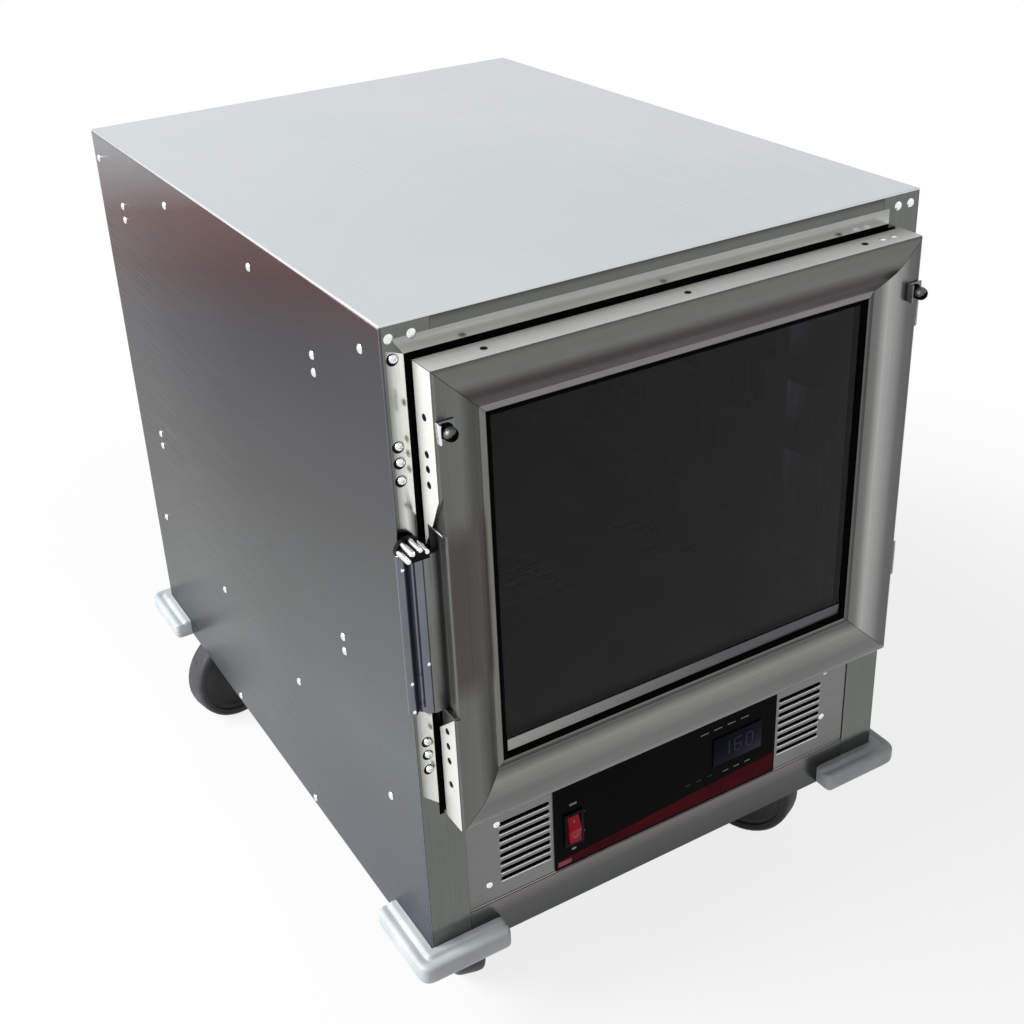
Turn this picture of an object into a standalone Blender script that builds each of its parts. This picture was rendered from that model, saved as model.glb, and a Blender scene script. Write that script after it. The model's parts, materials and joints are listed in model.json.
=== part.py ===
"""A heated food holding cabinet: an insulated aluminium box on four swivel casters, with a
glazed swing door and a heating and control module below the chamber. Sizes are in metres,
+Z is up, the front faces -Y and the origin is on the floor below the middle of the cabinet."""

import math

import bmesh
import bpy
from mathutils import Matrix, Vector

# Fits
GAP = 0.0003  # between faces that touch
PANE_CLEARANCE = 0.0008  # round the glass in its groove
SWING_CLEARANCE = 0.001  # round pieces that turn
PIN_CLEARANCE = 0.0003  # between a pin and its bore

# Body
BODY_WIDTH = 0.550
BODY_DEPTH = 0.7385
CLEARANCE = 0.130  # floor to the lower edge of the body
BASE_RECESS = 0.026  # lower edge of the body to the underside of the base pan
SHEET = 0.0015
BASE_SHEET = 0.003
WALL = 0.0255  # outside of the body to the face of the liner
CEILING = 0.032  # top of the body to the face of the liner
CHAMBER_FLOOR = 0.166  # lower edge of the body to the top of the chamber floor

# Face frame
FRAME_DEPTH = 0.025
POST_WIDTH = 0.043
BOTTOM_RAIL = 0.043
DOORWAY_SILL = 0.193  # lower edge of the body to the doorway
DOORWAY_HEIGHT = 0.409
TOP_RAIL = 0.050  # doorway to the top of the body

# Air slots in the chamber floor
AIR_SLOTS = 7
AIR_SLOT_LENGTH = 0.110
AIR_SLOT_WIDTH = 0.006
AIR_SLOT_PITCH = 0.015
AIR_RETURN_INSET = 0.055  # middle of the slots beside each wall, from the liner

# Pan racks
RACK_DEPTH = 0.010  # thickness of an upright, out from the liner
RACK_UPRIGHT = 0.025
RACK_FRONT = 0.1375  # front of the body to the middle of the front uprights
RACK_REAR = 0.0835  # back of the body to the middle of the rear uprights
RACK_HEADROOM = 0.029  # top of the uprights to the ceiling
SLIDES = 5
SLIDE_FIRST = 0.049  # chamber floor to the lowest slide
SLIDE_PITCH = 0.0762
SLIDE_LEDGE = 0.024
SLIDE_LIP = 0.014
SLIDE_SHEET = 0.002
SLIDE_FRONT = 0.060  # front of the body to the front of the slides
SLIDE_REAR = 0.0585  # back of the body to the rear of the slides

# Corner bumpers
BUMPER_REACH = 0.021  # how far they stand out of the body
BUMPER_LEG = 0.076  # along the body from its corner
BUMPER_DROP = 0.002  # below the body
BUMPER_LIP = 0.022  # above the lower edge of the body
BUMPER_ROUND = 0.011
BUMPER_BEVEL = 0.005

# Door
DOOR_OVERLAP = 0.0185  # how far the door covers the face frame round the doorway
DOOR_THICKNESS = 0.030
GASKET_SPACE = 0.003  # between the door and the face frame
GASKET_INSET = 0.004
GASKET_WIDTH = 0.012
MEMBER_WIDTH = 0.051
MEMBER_EDGE = 0.0015  # chamfer along the outer corner
MEMBER_FLAT = 0.020  # flat band along the outer edge
MEMBER_FALL = 0.011  # how far the curved band falls back
MEMBER_LIP = 0.006  # narrow lip round the glass
MEMBER_LIP_RISE = 0.0012
PANE_SETBACK = 0.0145  # front of the door to the front of the glass
PANE = 0.006
PANE_GROOVE = 0.008
STUD_DROP = 0.0500  # top of the door to the middle of its two studs
STUD_INSET = 0.0085
STUD_RADIUS = 0.007
STUD_FLANGE = 0.008
STUD_FLANGE_THICKNESS = 0.003
STUD_REACH = 0.016

# Hinges
HINGE_INSET = 0.0885  # top or bottom of the door to the middle of a hinge
HINGE_HEIGHT = 0.078
HINGE_PIN_OUT = 0.006  # edge of the door, and front of the face frame, to the pins
HINGE_LEAF = 0.002
HINGE_KNUCKLE = 0.005
HINGE_PIN = 0.0026
HINGE_LEAF_MARGIN = 0.002

# Latch
LATCH_HEIGHT = 0.182
LATCH_DROP = 0.009  # middle of the door to the middle of the latch
POCKET_WIDTH = 0.020
POCKET_DEPTH = 0.024
LATCH_SHEET = 0.002
LATCH_PIN = 0.002
LATCH_BARREL = 0.0045
LATCH_PIN_INSET = 0.0085  # edge of the door to the latch's pin
LATCH_PIN_SETBACK = 0.0155  # front of the door to the latch's pin
LEVER_OVERHANG = 0.006  # past the side of the body
LEVER_SETBACK = 0.017  # front of the door to the front of the lever
LEVER_DEPTH = 0.012
LEVER_RIDGE = 0.009
LEVER_GROOVE = 0.007
LEVER_WEB = 0.004
STRIKE_WIDTH = 0.012
STRIKE_HEIGHT = 0.050
STRIKE_THICKNESS = 0.0025
STRIKE_INSET = 0.006

# Control and heating module
MODULE_HEIGHT = 0.107
MODULE_SHEET = 0.002
MODULE_SETBACK = 0.001
VENT_SLOTS = 8
VENT_SLOT_LENGTH = 0.056
VENT_SLOT_HEIGHT = 0.0045
VENT_SLOT_PITCH = 0.0095
VENT_INSET = 0.1065  # side of the body to the middle of a vent
VENT_FIRST = 0.023  # bottom of the module to its lowest slot
PANEL_WIDTH = 0.272
PANEL_HEIGHT = 0.102
PANEL_THICKNESS = 0.0015
PANEL_FOOT = 0.002  # bottom of the module to the bottom of the panel
SWITCH_INSET = 0.021  # left end of the panel to the middle of the switch
SWITCH_LIFT = 0.048  # bottom of the module to the middle of the switch
BEZEL_WIDTH = 0.022
BEZEL_HEIGHT = 0.040
BEZEL_FLANGE = 0.002
BEZEL_RIM = 0.0035
BEZEL_NECK = 0.0015  # how much narrower the body is than the flange, on each side
BEZEL_DEPTH = 0.020
ROCKER_CROWN = 0.003
ROCKER_DEPTH = 0.007
ROCKER_BACK = 0.7  # height of its back as a share of its front
ROCKER_TILT = math.radians(8)
DISPLAY_WIDTH = 0.062
DISPLAY_HEIGHT = 0.034
DISPLAY_THICKNESS = 0.0012
DISPLAY_INSET = 0.051  # right end of the panel to the middle of the display
DISPLAY_LIFT = 0.062
TRAY_INSET = 0.060
TRAY_LENGTH = 0.450
TRAY_WALL = 0.060
TRAY_LIFT = 0.004
FAN_INSET = 0.300  # front of the body to the fan's axis
FAN_RADIUS = 0.065
FAN_DISC = 0.002
FAN_HUB = 0.012
FAN_HEIGHT = 0.030
FAN_BLADES = 10
FAN_BLADE = 0.002
FAN_BLADE_LENGTH = 0.030
FAN_DROP = 0.012  # chamber floor to the top of the fan
MOTOR_RADIUS = 0.038
MOTOR_BOSS = 0.014
MOTOR_BOSS_HEIGHT = 0.008
ELEMENT_RADIUS = 0.085
ELEMENT_TUBE = 0.004
ELEMENT_LEG = 0.120
ELEMENT_POINTS = 28
ELEMENT_OPENING = math.radians(40)
ELEMENT_DROP = 0.030  # chamber floor to the heating element
CONTROLLER_WIDTH = 0.120
CONTROLLER_DEPTH = 0.060
CONTROLLER_HEIGHT = 0.070
CONTROLLER_SETBACK = 0.030
INLET_INSET = 0.125  # left side of the body to the middle of the power inlet
INLET_LIFT = 0.070
INLET_WIDTH = 0.050
INLET_HEIGHT = 0.030
INLET_FLANGE = 0.003
INLET_NECK = 0.008
INLET_DEPTH = 0.022
SOCKET_WIDTH = 0.025
SOCKET_HEIGHT = 0.017
SOCKET_DEPTH = 0.015

# Casters
CASTER_INSET_X = 0.074
CASTER_INSET_Y = 0.080
PLATE_WIDTH = 0.078
PLATE_LENGTH = 0.098
PLATE_THICKNESS = 0.004
RACE_RADIUS = 0.027
RACE_HEIGHT = 0.007
YOKE_RADIUS = 0.030
YOKE_SHEET = 0.004
YOKE_LEG = 0.003
YOKE_LEG_TOP = 0.022
YOKE_BOSS = 0.013
YOKE_BOSS_TURN = 30  # degrees above the axle where the boss meets the leg
WHEEL_RADIUS = 0.0635
WHEEL_WIDTH = 0.032
WHEEL_LEAD = 0.030
WHEEL_SIDE_CLEARANCE = 0.003
WHEEL_SEGMENTS = 36
TREAD_DEPTH = 0.010
TREAD_CHAMFER = 0.004
WEB_WIDTH = 0.018
HUB_RADIUS = 0.018
AXLE_RADIUS = 0.006
AXLE_END = 0.004
CASTER_HEADINGS = {  # where each wheel trails from its swivel, in degrees from +X
    "front_left": 75,
    "front_right": 114,
    "rear_left": 192,
    "rear_right": 58,
}

# Round shapes
SEGMENTS = 24
CURVE_STEPS = 6
BEVEL_STEPS = 2
SHARP_ANGLE = math.radians(40)

# Places that follow from the sizes
FRONT_REACH = GASKET_SPACE + DOOR_THICKNESS + STUD_REACH
LEFT = -BODY_WIDTH / 2
RIGHT = BODY_WIDTH / 2
FRONT = (FRONT_REACH - BUMPER_REACH - BODY_DEPTH) / 2
BACK = FRONT + BODY_DEPTH
BASE = CLEARANCE
PAN_BOTTOM = BASE + BASE_RECESS
BODY_HEIGHT = DOORWAY_SILL + DOORWAY_HEIGHT + TOP_RAIL
TOP = BASE + BODY_HEIGHT
INNER_LEFT = LEFT + SHEET + GAP
INNER_RIGHT = RIGHT - SHEET - GAP
PANEL_TOP = TOP - SHEET - GAP
FRAME_BACK = FRONT + FRAME_DEPTH
FLOOR_TOP = BASE + CHAMBER_FLOOR
LINER_TOP = TOP - CEILING
SILL = BASE + DOORWAY_SILL
LINTEL = SILL + DOORWAY_HEIGHT
MODULE_BOTTOM = BASE + BOTTOM_RAIL
MODULE_TOP = MODULE_BOTTOM + MODULE_HEIGHT
MODULE_FRONT = FRONT + MODULE_SETBACK
PANEL_FRONT = MODULE_FRONT - GAP - PANEL_THICKNESS
PANEL_LEFT = (LEFT + RIGHT - PANEL_WIDTH) / 2
PANEL_RIGHT = (LEFT + RIGHT + PANEL_WIDTH) / 2
DOOR_LEFT = LEFT + POST_WIDTH - DOOR_OVERLAP
DOOR_RIGHT = RIGHT - POST_WIDTH + DOOR_OVERLAP
DOOR_BOTTOM = SILL - DOOR_OVERLAP
DOOR_TOP = LINTEL + DOOR_OVERLAP
DOOR_BACK = FRONT - GASKET_SPACE
DOOR_FRONT = DOOR_BACK - DOOR_THICKNESS
PIN_X = DOOR_RIGHT + HINGE_PIN_OUT
PIN_Y = FRONT - HINGE_PIN_OUT
LATCH_MIDDLE = (DOOR_BOTTOM + DOOR_TOP) / 2 - LATCH_DROP
LATCH_BOTTOM = LATCH_MIDDLE - LATCH_HEIGHT / 2
LATCH_TOP = LATCH_MIDDLE + LATCH_HEIGHT / 2
FAN_X = (LEFT + RIGHT) / 2
FAN_Y = FRONT + FAN_INSET
FAN_TOP = FLOOR_TOP - SHEET - FAN_DROP
FAN_BOTTOM = FAN_TOP - FAN_HEIGHT


def finish(name, colour, roughness, metallic):
    """A material with one Principled shader."""
    made = bpy.data.materials.new(name)
    made.use_nodes = True
    shader = made.node_tree.nodes["Principled BSDF"]
    shader.inputs["Base Color"].default_value = (*colour, 1.0)
    shader.inputs["Roughness"].default_value = roughness
    shader.inputs["Metallic"].default_value = metallic
    return made


def add(name, shape, look, pivot=(0.0, 0.0, 0.0), smooth=False):
    """Makes a mesh built in world places into a named object with its origin at pivot."""
    bmesh.ops.recalc_face_normals(shape, faces=shape.faces)
    bmesh.ops.translate(shape, verts=shape.verts, vec=-Vector(pivot))
    mesh = bpy.data.meshes.new(name)
    shape.to_mesh(mesh)
    shape.free()
    if smooth:
        mesh.shade_smooth()
        mesh.set_sharp_from_angle(angle=SHARP_ANGLE)
    mesh.materials.append(look)
    made = bpy.data.objects.new(name, mesh)
    made.location = pivot
    bpy.context.scene.collection.objects.link(made)
    return made


def hang(children, parent):
    """Parents pieces to what carries them, and leaves them where they are."""
    for child in children:
        child.parent = parent
        child.matrix_parent_inverse = Matrix.Translation(-parent.location)


def empty(name, place):
    """An empty on the axis of a joint."""
    made = bpy.data.objects.new(name, None)
    made.location = place
    bpy.context.scene.collection.objects.link(made)
    return made


def combine(body, shape, operation):
    """Joins a shape to a body, or cuts it out, and keeps the result as the body's mesh."""
    tool = add(body.name + "_tool", shape, body.data.materials[0])
    change = body.modifiers.new(operation.title(), "BOOLEAN")
    change.operation = operation
    change.solver = "EXACT"
    change.object = tool
    bpy.context.view_layer.update()
    graph = bpy.context.evaluated_depsgraph_get()
    made = bpy.data.meshes.new_from_object(body.evaluated_get(graph))
    made.name = body.name
    body.modifiers.clear()
    body.data = made
    bpy.data.objects.remove(tool)


def join(body, *shapes):
    """Joins shapes to a body, one after the other."""
    for shape in shapes:
        combine(body, shape, "UNION")


def cut(body, *shapes):
    """Cuts shapes out of a body, one after the other."""
    for shape in shapes:
        combine(body, shape, "DIFFERENCE")


def box(low, high):
    """A box between two corners."""
    return boxes([(low, high)])


def boxes(corners):
    """Several separate boxes in one mesh."""
    shape = bmesh.new()
    for low, high in corners:
        size = [b - a for a, b in zip(low, high)]
        middle = [(a + b) / 2 for a, b in zip(low, high)]
        place = Matrix.Translation(middle) @ Matrix.Diagonal((*size, 1.0))
        bmesh.ops.create_cube(shape, size=1.0, matrix=place)
    return shape


def rod(start, end, radius, segments=SEGMENTS):
    """A cylinder between two points."""
    shape = bmesh.new()
    start, end = Vector(start), Vector(end)
    turn = Vector((0, 0, 1)).rotation_difference(end - start).to_matrix().to_4x4()
    place = Matrix.Translation((start + end) / 2) @ turn
    bmesh.ops.create_cone(
        shape,
        cap_ends=True,
        segments=segments,
        radius1=radius,
        radius2=radius,
        depth=(end - start).length,
        matrix=place,
    )
    return shape


def prism(outline, along):
    """A flat closed outline of points, drawn out by a vector."""
    shape = bmesh.new()
    face = shape.faces.new([shape.verts.new(point) for point in outline])
    drawn = bmesh.ops.extrude_face_region(shape, geom=[face])["geom"]
    moved = [item for item in drawn if isinstance(item, bmesh.types.BMVert)]
    bmesh.ops.translate(shape, verts=moved, vec=along)
    return shape


def arc(centre, radius, start, end, steps):
    """Points on an arc in a plane; angles are in degrees."""
    angles = [math.radians(start + (end - start) * i / steps) for i in range(steps + 1)]
    return [(centre[0] + radius * math.cos(a), centre[1] + radius * math.sin(a)) for a in angles]


def mirrored(shape, x_side, y_side):
    """Mirrors a shape across the middle of the body where a side is -1."""
    middle_y = (FRONT + BACK) / 2
    place = Matrix.Translation((0, middle_y, 0))
    flip = place @ Matrix.Diagonal((x_side, y_side, 1, 1)) @ place.inverted()
    bmesh.ops.transform(shape, matrix=flip, verts=shape.verts)
    return shape


def build_shell(looks):
    """The outer panels, the base pan, the liner with its floor, and the insulation between."""
    sheet = looks["aluminium"]
    add("left_outer_panel", box((LEFT, FRONT, BASE), (LEFT + SHEET, BACK, PANEL_TOP)), sheet)
    add("right_outer_panel", box((RIGHT - SHEET, FRONT, BASE), (RIGHT, BACK, PANEL_TOP)), sheet)
    add("top_outer_panel", box((LEFT, FRONT, TOP - SHEET), (RIGHT, BACK, TOP)), sheet)
    back = box((INNER_LEFT, BACK - SHEET, BASE), (INNER_RIGHT, BACK, PANEL_TOP))
    back_panel = add("back_outer_panel", back, sheet)
    cut(back_panel, inlet_body(PIN_CLEARANCE))
    shell_back = BACK - SHEET - GAP
    pan_low = (INNER_LEFT, FRAME_BACK + GAP, PAN_BOTTOM)
    add("base_pan", box(pan_low, (INNER_RIGHT, shell_back, PAN_BOTTOM + BASE_SHEET)), sheet)

    liner_left = LEFT + WALL
    liner_right = RIGHT - WALL
    liner_back = BACK - WALL
    low = FLOOR_TOP + GAP
    high = LINER_TOP - GAP
    front = FRAME_BACK + GAP
    bright = looks["liner"]
    left = box((liner_left - SHEET, front, low), (liner_left, liner_back - GAP, high))
    add("left_liner", left, bright)
    right = box((liner_right, front, low), (liner_right + SHEET, liner_back - GAP, high))
    add("right_liner", right, bright)
    back = box((liner_left - SHEET, liner_back, low), (liner_right + SHEET, liner_back + SHEET, high))
    add("back_liner", back, bright)
    ceiling_high = (liner_right + SHEET, liner_back + SHEET, LINER_TOP + SHEET)
    add("ceiling_liner", box((liner_left - SHEET, front, LINER_TOP), ceiling_high), bright)

    floor_low = (INNER_LEFT, front, FLOOR_TOP - SHEET)
    floor = add("chamber_floor", box(floor_low, (INNER_RIGHT, shell_back, FLOOR_TOP)), bright)
    cut(floor, boxes(air_slots()))

    jacket = box((INNER_LEFT, front, low), (INNER_RIGHT, shell_back, PANEL_TOP))
    jacket = add("insulation_jacket", jacket, looks["insulation"])
    hollow_low = (liner_left - SHEET - GAP, FRONT, BASE)
    hollow_high = (liner_right + SHEET + GAP, liner_back + SHEET + GAP, LINER_TOP + SHEET + GAP)
    cut(jacket, box(hollow_low, hollow_high))


def air_slots():
    """Corners of the air slots: one group over the fan, and one beside each wall."""
    span = AIR_SLOT_PITCH * (AIR_SLOTS - 1)
    sides = LEFT + WALL + AIR_RETURN_INSET, RIGHT - WALL - AIR_RETURN_INSET
    corners = []
    for index in range(AIR_SLOTS):
        shift = index * AIR_SLOT_PITCH - span / 2
        middles = [(FAN_X, FAN_Y + shift)] + [(x, FAN_Y + shift) for x in sides]
        lengths = [AIR_SLOT_LENGTH] + [AIR_SLOT_LENGTH / 2] * len(sides)
        for (x, y), length in zip(middles, lengths):
            low = (x - length / 2, y - AIR_SLOT_WIDTH / 2, FLOOR_TOP - 2 * SHEET)
            high = (x + length / 2, y + AIR_SLOT_WIDTH / 2, FLOOR_TOP + SHEET)
            corners.append((low, high))
    return corners


def build_face_frame(looks):
    """Two posts and three rails round the doorway and the module."""
    look = looks["polished"]
    post_low = (INNER_LEFT, FRONT, BASE)
    add("left_front_post", box(post_low, (LEFT + POST_WIDTH, FRAME_BACK, PANEL_TOP)), look)
    post_high = (INNER_RIGHT, FRAME_BACK, PANEL_TOP)
    add("right_front_post", box((RIGHT - POST_WIDTH, FRONT, BASE), post_high), look)
    rails = {
        "top_front_rail": (LINTEL, PANEL_TOP),
        "middle_front_rail": (MODULE_TOP + GAP, SILL),
        "bottom_front_rail": (BASE, MODULE_BOTTOM - GAP),
    }
    for name, (low, high) in rails.items():
        corner = (LEFT + POST_WIDTH + GAP, FRONT, low)
        add(name, box(corner, (RIGHT - POST_WIDTH - GAP, FRAME_BACK, high)), look)


def build_bumpers(looks):
    """A moulded bumper round each lower corner, rounded along its free edges."""
    inside = BUMPER_REACH - BUMPER_ROUND
    for name, x_side, y_side in (
        ("front_left", 1, 1),
        ("front_right", -1, 1),
        ("rear_left", 1, -1),
        ("rear_right", -1, -1),
    ):
        turn = arc((LEFT - inside, FRONT - inside), BUMPER_ROUND, 180, 270, CURVE_STEPS)
        outline = [(LEFT - GAP, FRONT + BUMPER_LEG), (LEFT - BUMPER_REACH, FRONT + BUMPER_LEG)]
        outline += turn
        outline += [(LEFT + BUMPER_LEG, FRONT - BUMPER_REACH), (LEFT + BUMPER_LEG, FRONT - GAP)]
        outline += [(LEFT - GAP, FRONT - GAP)]
        low = BASE - BUMPER_DROP
        shape = prism([(x, y, low) for x, y in outline], (0, 0, BUMPER_DROP + BUMPER_LIP))
        bmesh.ops.bevel(
            shape,
            geom=[edge for edge in shape.edges if is_free(edge)],
            offset=BUMPER_BEVEL,
            segments=BEVEL_STEPS,
            profile=0.5,
            affect="EDGES",
            clamp_overlap=True,
            material=-1,
        )
        add("corner_bumper_" + name, mirrored(shape, x_side, y_side), looks["bumper"])


def is_free(edge):
    """True for an edge of the front left bumper that has an end away from the body."""
    rim = abs(edge.verts[0].co.z - edge.verts[1].co.z) < GAP
    ends = [end.co for end in edge.verts]
    away = any(end.x < LEFT - BUMPER_BEVEL or end.y < FRONT - BUMPER_BEVEL for end in ends)
    tip = all(end.x > LEFT or end.y > FRONT for end in ends)
    return away and (rim or tip)


def build_racks(looks):
    """On each wall, two uprights with ledges for the edges of the pans."""
    for name, side in (("left_pan_rack", -1), ("right_pan_rack", 1)):
        wall = side * (BODY_WIDTH / 2 - WALL - GAP)
        face = wall - side * RACK_DEPTH
        low = FLOOR_TOP + GAP
        uprights = []
        for middle in (FRONT + RACK_FRONT, BACK - RACK_REAR):
            ends = middle - RACK_UPRIGHT / 2, middle + RACK_UPRIGHT / 2
            corner = (min(wall, face), ends[0], low)
            uprights.append(box(corner, (max(wall, face), ends[1], LINER_TOP - RACK_HEADROOM)))
        rack = add(name, uprights[0], looks["liner"])
        slides = []
        for index in range(SLIDES):
            ledge = FLOOR_TOP + SLIDE_FIRST + index * SLIDE_PITCH
            slides.append(pan_slide(face, side, ledge))
        join(rack, *slides, uprights[1])


def pan_slide(face, side, ledge):
    """An angle with its lip let into the face of the uprights and its ledge into the chamber."""
    root = face + side * SLIDE_SHEET / 2
    inner = root - side * SLIDE_SHEET
    tip = face - side * SLIDE_LEDGE
    outline = [
        (root, ledge - SLIDE_SHEET),
        (tip, ledge - SLIDE_SHEET),
        (tip, ledge),
        (inner, ledge),
        (inner, ledge + SLIDE_LIP),
        (root, ledge + SLIDE_LIP),
    ]
    start = FRONT + SLIDE_FRONT
    end = BACK - SLIDE_REAR
    return prism([(x, start, z) for x, z in outline], (0, end - start, 0))


def member_profile():
    """Cross-section of a door member: (distance in from the door's edge, y)."""
    curve_width = MEMBER_WIDTH - MEMBER_FLAT - MEMBER_LIP
    curve = []
    for index in range(1, CURVE_STEPS + 1):
        share = index / CURVE_STEPS
        fall = MEMBER_FALL * (1 - math.cos(share * math.pi / 2))
        curve.append((MEMBER_FLAT + share * curve_width, DOOR_FRONT + fall))
    groove_front = DOOR_FRONT + PANE_SETBACK - PANE_CLEARANCE
    groove_back = DOOR_FRONT + PANE_SETBACK + PANE + PANE_CLEARANCE
    groove = MEMBER_WIDTH - PANE_GROOVE
    return [
        (0, DOOR_BACK),
        (0, DOOR_FRONT + MEMBER_EDGE),
        (MEMBER_EDGE, DOOR_FRONT),
        (MEMBER_FLAT, DOOR_FRONT),
        *curve,
        (MEMBER_WIDTH, DOOR_FRONT + MEMBER_FALL - MEMBER_LIP_RISE),
        (MEMBER_WIDTH, groove_front),
        (groove, groove_front),
        (groove, groove_back),
        (MEMBER_WIDTH, groove_back),
        (MEMBER_WIDTH, DOOR_BACK),
    ]


def member(corner, along, inward, length):
    """A door member from one corner of the door to the next, mitred at both ends."""
    shape = bmesh.new()
    corner, along, inward = Vector(corner), Vector(along), Vector(inward)
    rings = []
    for place in (lambda u: u + GAP, lambda u: length - u - GAP):
        ring = []
        for u, y in member_profile():
            spot = corner + along * place(u) + inward * u
            ring.append(shape.verts.new((spot.x, y, spot.z)))
        shape.faces.new(ring)
        rings.append(ring)
    count = len(rings[0])
    for i in range(count):
        j = (i + 1) % count
        shape.faces.new((rings[0][i], rings[0][j], rings[1][j], rings[1][i]))
    return shape


def build_door(looks):
    """Four mitred members round a pane of glass, with a gasket behind and two studs in front."""
    look = looks["anodised"]
    width = DOOR_RIGHT - DOOR_LEFT
    height = DOOR_TOP - DOOR_BOTTOM
    low_left = (DOOR_LEFT, 0, DOOR_BOTTOM)
    low_right = (DOOR_RIGHT, 0, DOOR_BOTTOM)
    high_left = (DOOR_LEFT, 0, DOOR_TOP)
    left = add("door_left_member", member(low_left, (0, 0, 1), (1, 0, 0), height), look)
    cut(left, latch_pocket(0.0))
    pieces = [
        left,
        add("door_right_member", member(low_right, (0, 0, 1), (-1, 0, 0), height), look),
        add("door_bottom_member", member(low_left, (1, 0, 0), (0, 0, 1), width), look),
        add("door_top_member", member(high_left, (1, 0, 0), (0, 0, -1), width), look),
    ]

    edge = MEMBER_WIDTH - PANE_GROOVE + PANE_CLEARANCE
    pane_front = DOOR_FRONT + PANE_SETBACK
    pane_low = (DOOR_LEFT + edge, pane_front, DOOR_BOTTOM + edge)
    pane_high = (DOOR_RIGHT - edge, pane_front + PANE, DOOR_TOP - edge)
    pieces.append(add("window_pane", box(pane_low, pane_high), looks["glass"]))

    gasket = add("door_gasket", door_slab(GASKET_INSET, DOOR_BACK + GAP, FRONT - GAP), looks["seal"])
    cut(gasket, door_slab(GASKET_INSET + GASKET_WIDTH, DOOR_FRONT, FRAME_BACK))
    pieces.append(gasket)

    for name, x in (("left", DOOR_LEFT + STUD_INSET), ("right", DOOR_RIGHT - STUD_INSET)):
        z = DOOR_TOP - STUD_DROP
        foot = (x, DOOR_FRONT - GAP, z)
        flange = rod(foot, (x, DOOR_FRONT - STUD_FLANGE_THICKNESS, z), STUD_FLANGE)
        stud = add("door_stud_" + name, flange, looks["seal"])
        stem = (x, DOOR_FRONT - STUD_FLANGE_THICKNESS / 2, z)
        join(stud, rod(stem, (x, DOOR_FRONT - STUD_REACH, z), STUD_RADIUS))
        pieces.append(stud)
    return pieces


def door_slab(inset, front, back):
    """A box as large as the door, less an inset all round."""
    low = (DOOR_LEFT + inset, front, DOOR_BOTTOM + inset)
    return box(low, (DOOR_RIGHT - inset, back, DOOR_TOP - inset))


def build_hinges(looks):
    """Two lift-off hinges: each frame leaf carries a pin, and each door leaf sits over it."""
    look = looks["polished"]
    door_leaves = []
    for name, middle in (("lower", DOOR_BOTTOM + HINGE_INSET), ("upper", DOOR_TOP - HINGE_INSET)):
        low = middle - HINGE_HEIGHT / 2
        high = middle + HINGE_HEIGHT / 2
        outline = frame_leaf_outline()
        frame_leaf = prism([(x, y, low) for x, y in outline], (0, 0, middle - low))
        frame_leaf = add(name + "_hinge_frame_leaf", frame_leaf, look)
        join(frame_leaf, rod((PIN_X, PIN_Y, middle - HINGE_LEAF), (PIN_X, PIN_Y, high), HINGE_PIN))

        foot = middle + SWING_CLEARANCE
        outline = door_leaf_outline()
        door_leaf = prism([(x, y, foot) for x, y in outline], (0, 0, high - foot))
        door_leaf = add(name + "_hinge_door_leaf", door_leaf, look, (PIN_X, PIN_Y, foot))
        bore = HINGE_PIN + PIN_CLEARANCE
        cut(door_leaf, rod((PIN_X, PIN_Y, foot - HINGE_LEAF), (PIN_X, PIN_Y, high + HINGE_LEAF), bore))
        door_leaves.append(door_leaf)
    return door_leaves


def frame_leaf_outline():
    """Plan of a frame leaf: a plate on the post and the knuckle round the pin."""
    plate_back = FRONT - GAP
    plate_front = plate_back - HINGE_LEAF
    plate_right = RIGHT - HINGE_LEAF_MARGIN
    meets = math.degrees(math.asin((plate_front - PIN_Y) / HINGE_KNUCKLE))
    return [
        (plate_right, plate_front),
        (plate_right, plate_back),
        (PIN_X, plate_back),
        *arc((PIN_X, PIN_Y), HINGE_KNUCKLE, 90, 360 + meets, SEGMENTS),
    ]


def door_leaf_outline():
    """Plan of a door leaf: a plate on the door's edge and the knuckle over the pin."""
    plate_left = DOOR_RIGHT + GAP
    plate_right = plate_left + HINGE_LEAF
    plate_front = DOOR_FRONT + HINGE_LEAF_MARGIN
    meets = math.degrees(math.acos((PIN_X - plate_right) / HINGE_KNUCKLE))
    return [
        (plate_left, plate_front),
        (plate_right, plate_front),
        *arc((PIN_X, PIN_Y), HINGE_KNUCKLE, 180 + meets, 540, SEGMENTS),
        (plate_left, PIN_Y),
    ]


def latch_pocket(inset):
    """The space for the latch at the door's left edge, less an inset on its closed sides."""
    low = (DOOR_LEFT - POCKET_WIDTH, DOOR_FRONT - POCKET_DEPTH, LATCH_BOTTOM + inset)
    back = DOOR_FRONT + POCKET_DEPTH - inset
    return box(low, (DOOR_LEFT + POCKET_WIDTH - inset, back, LATCH_TOP - inset))


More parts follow.
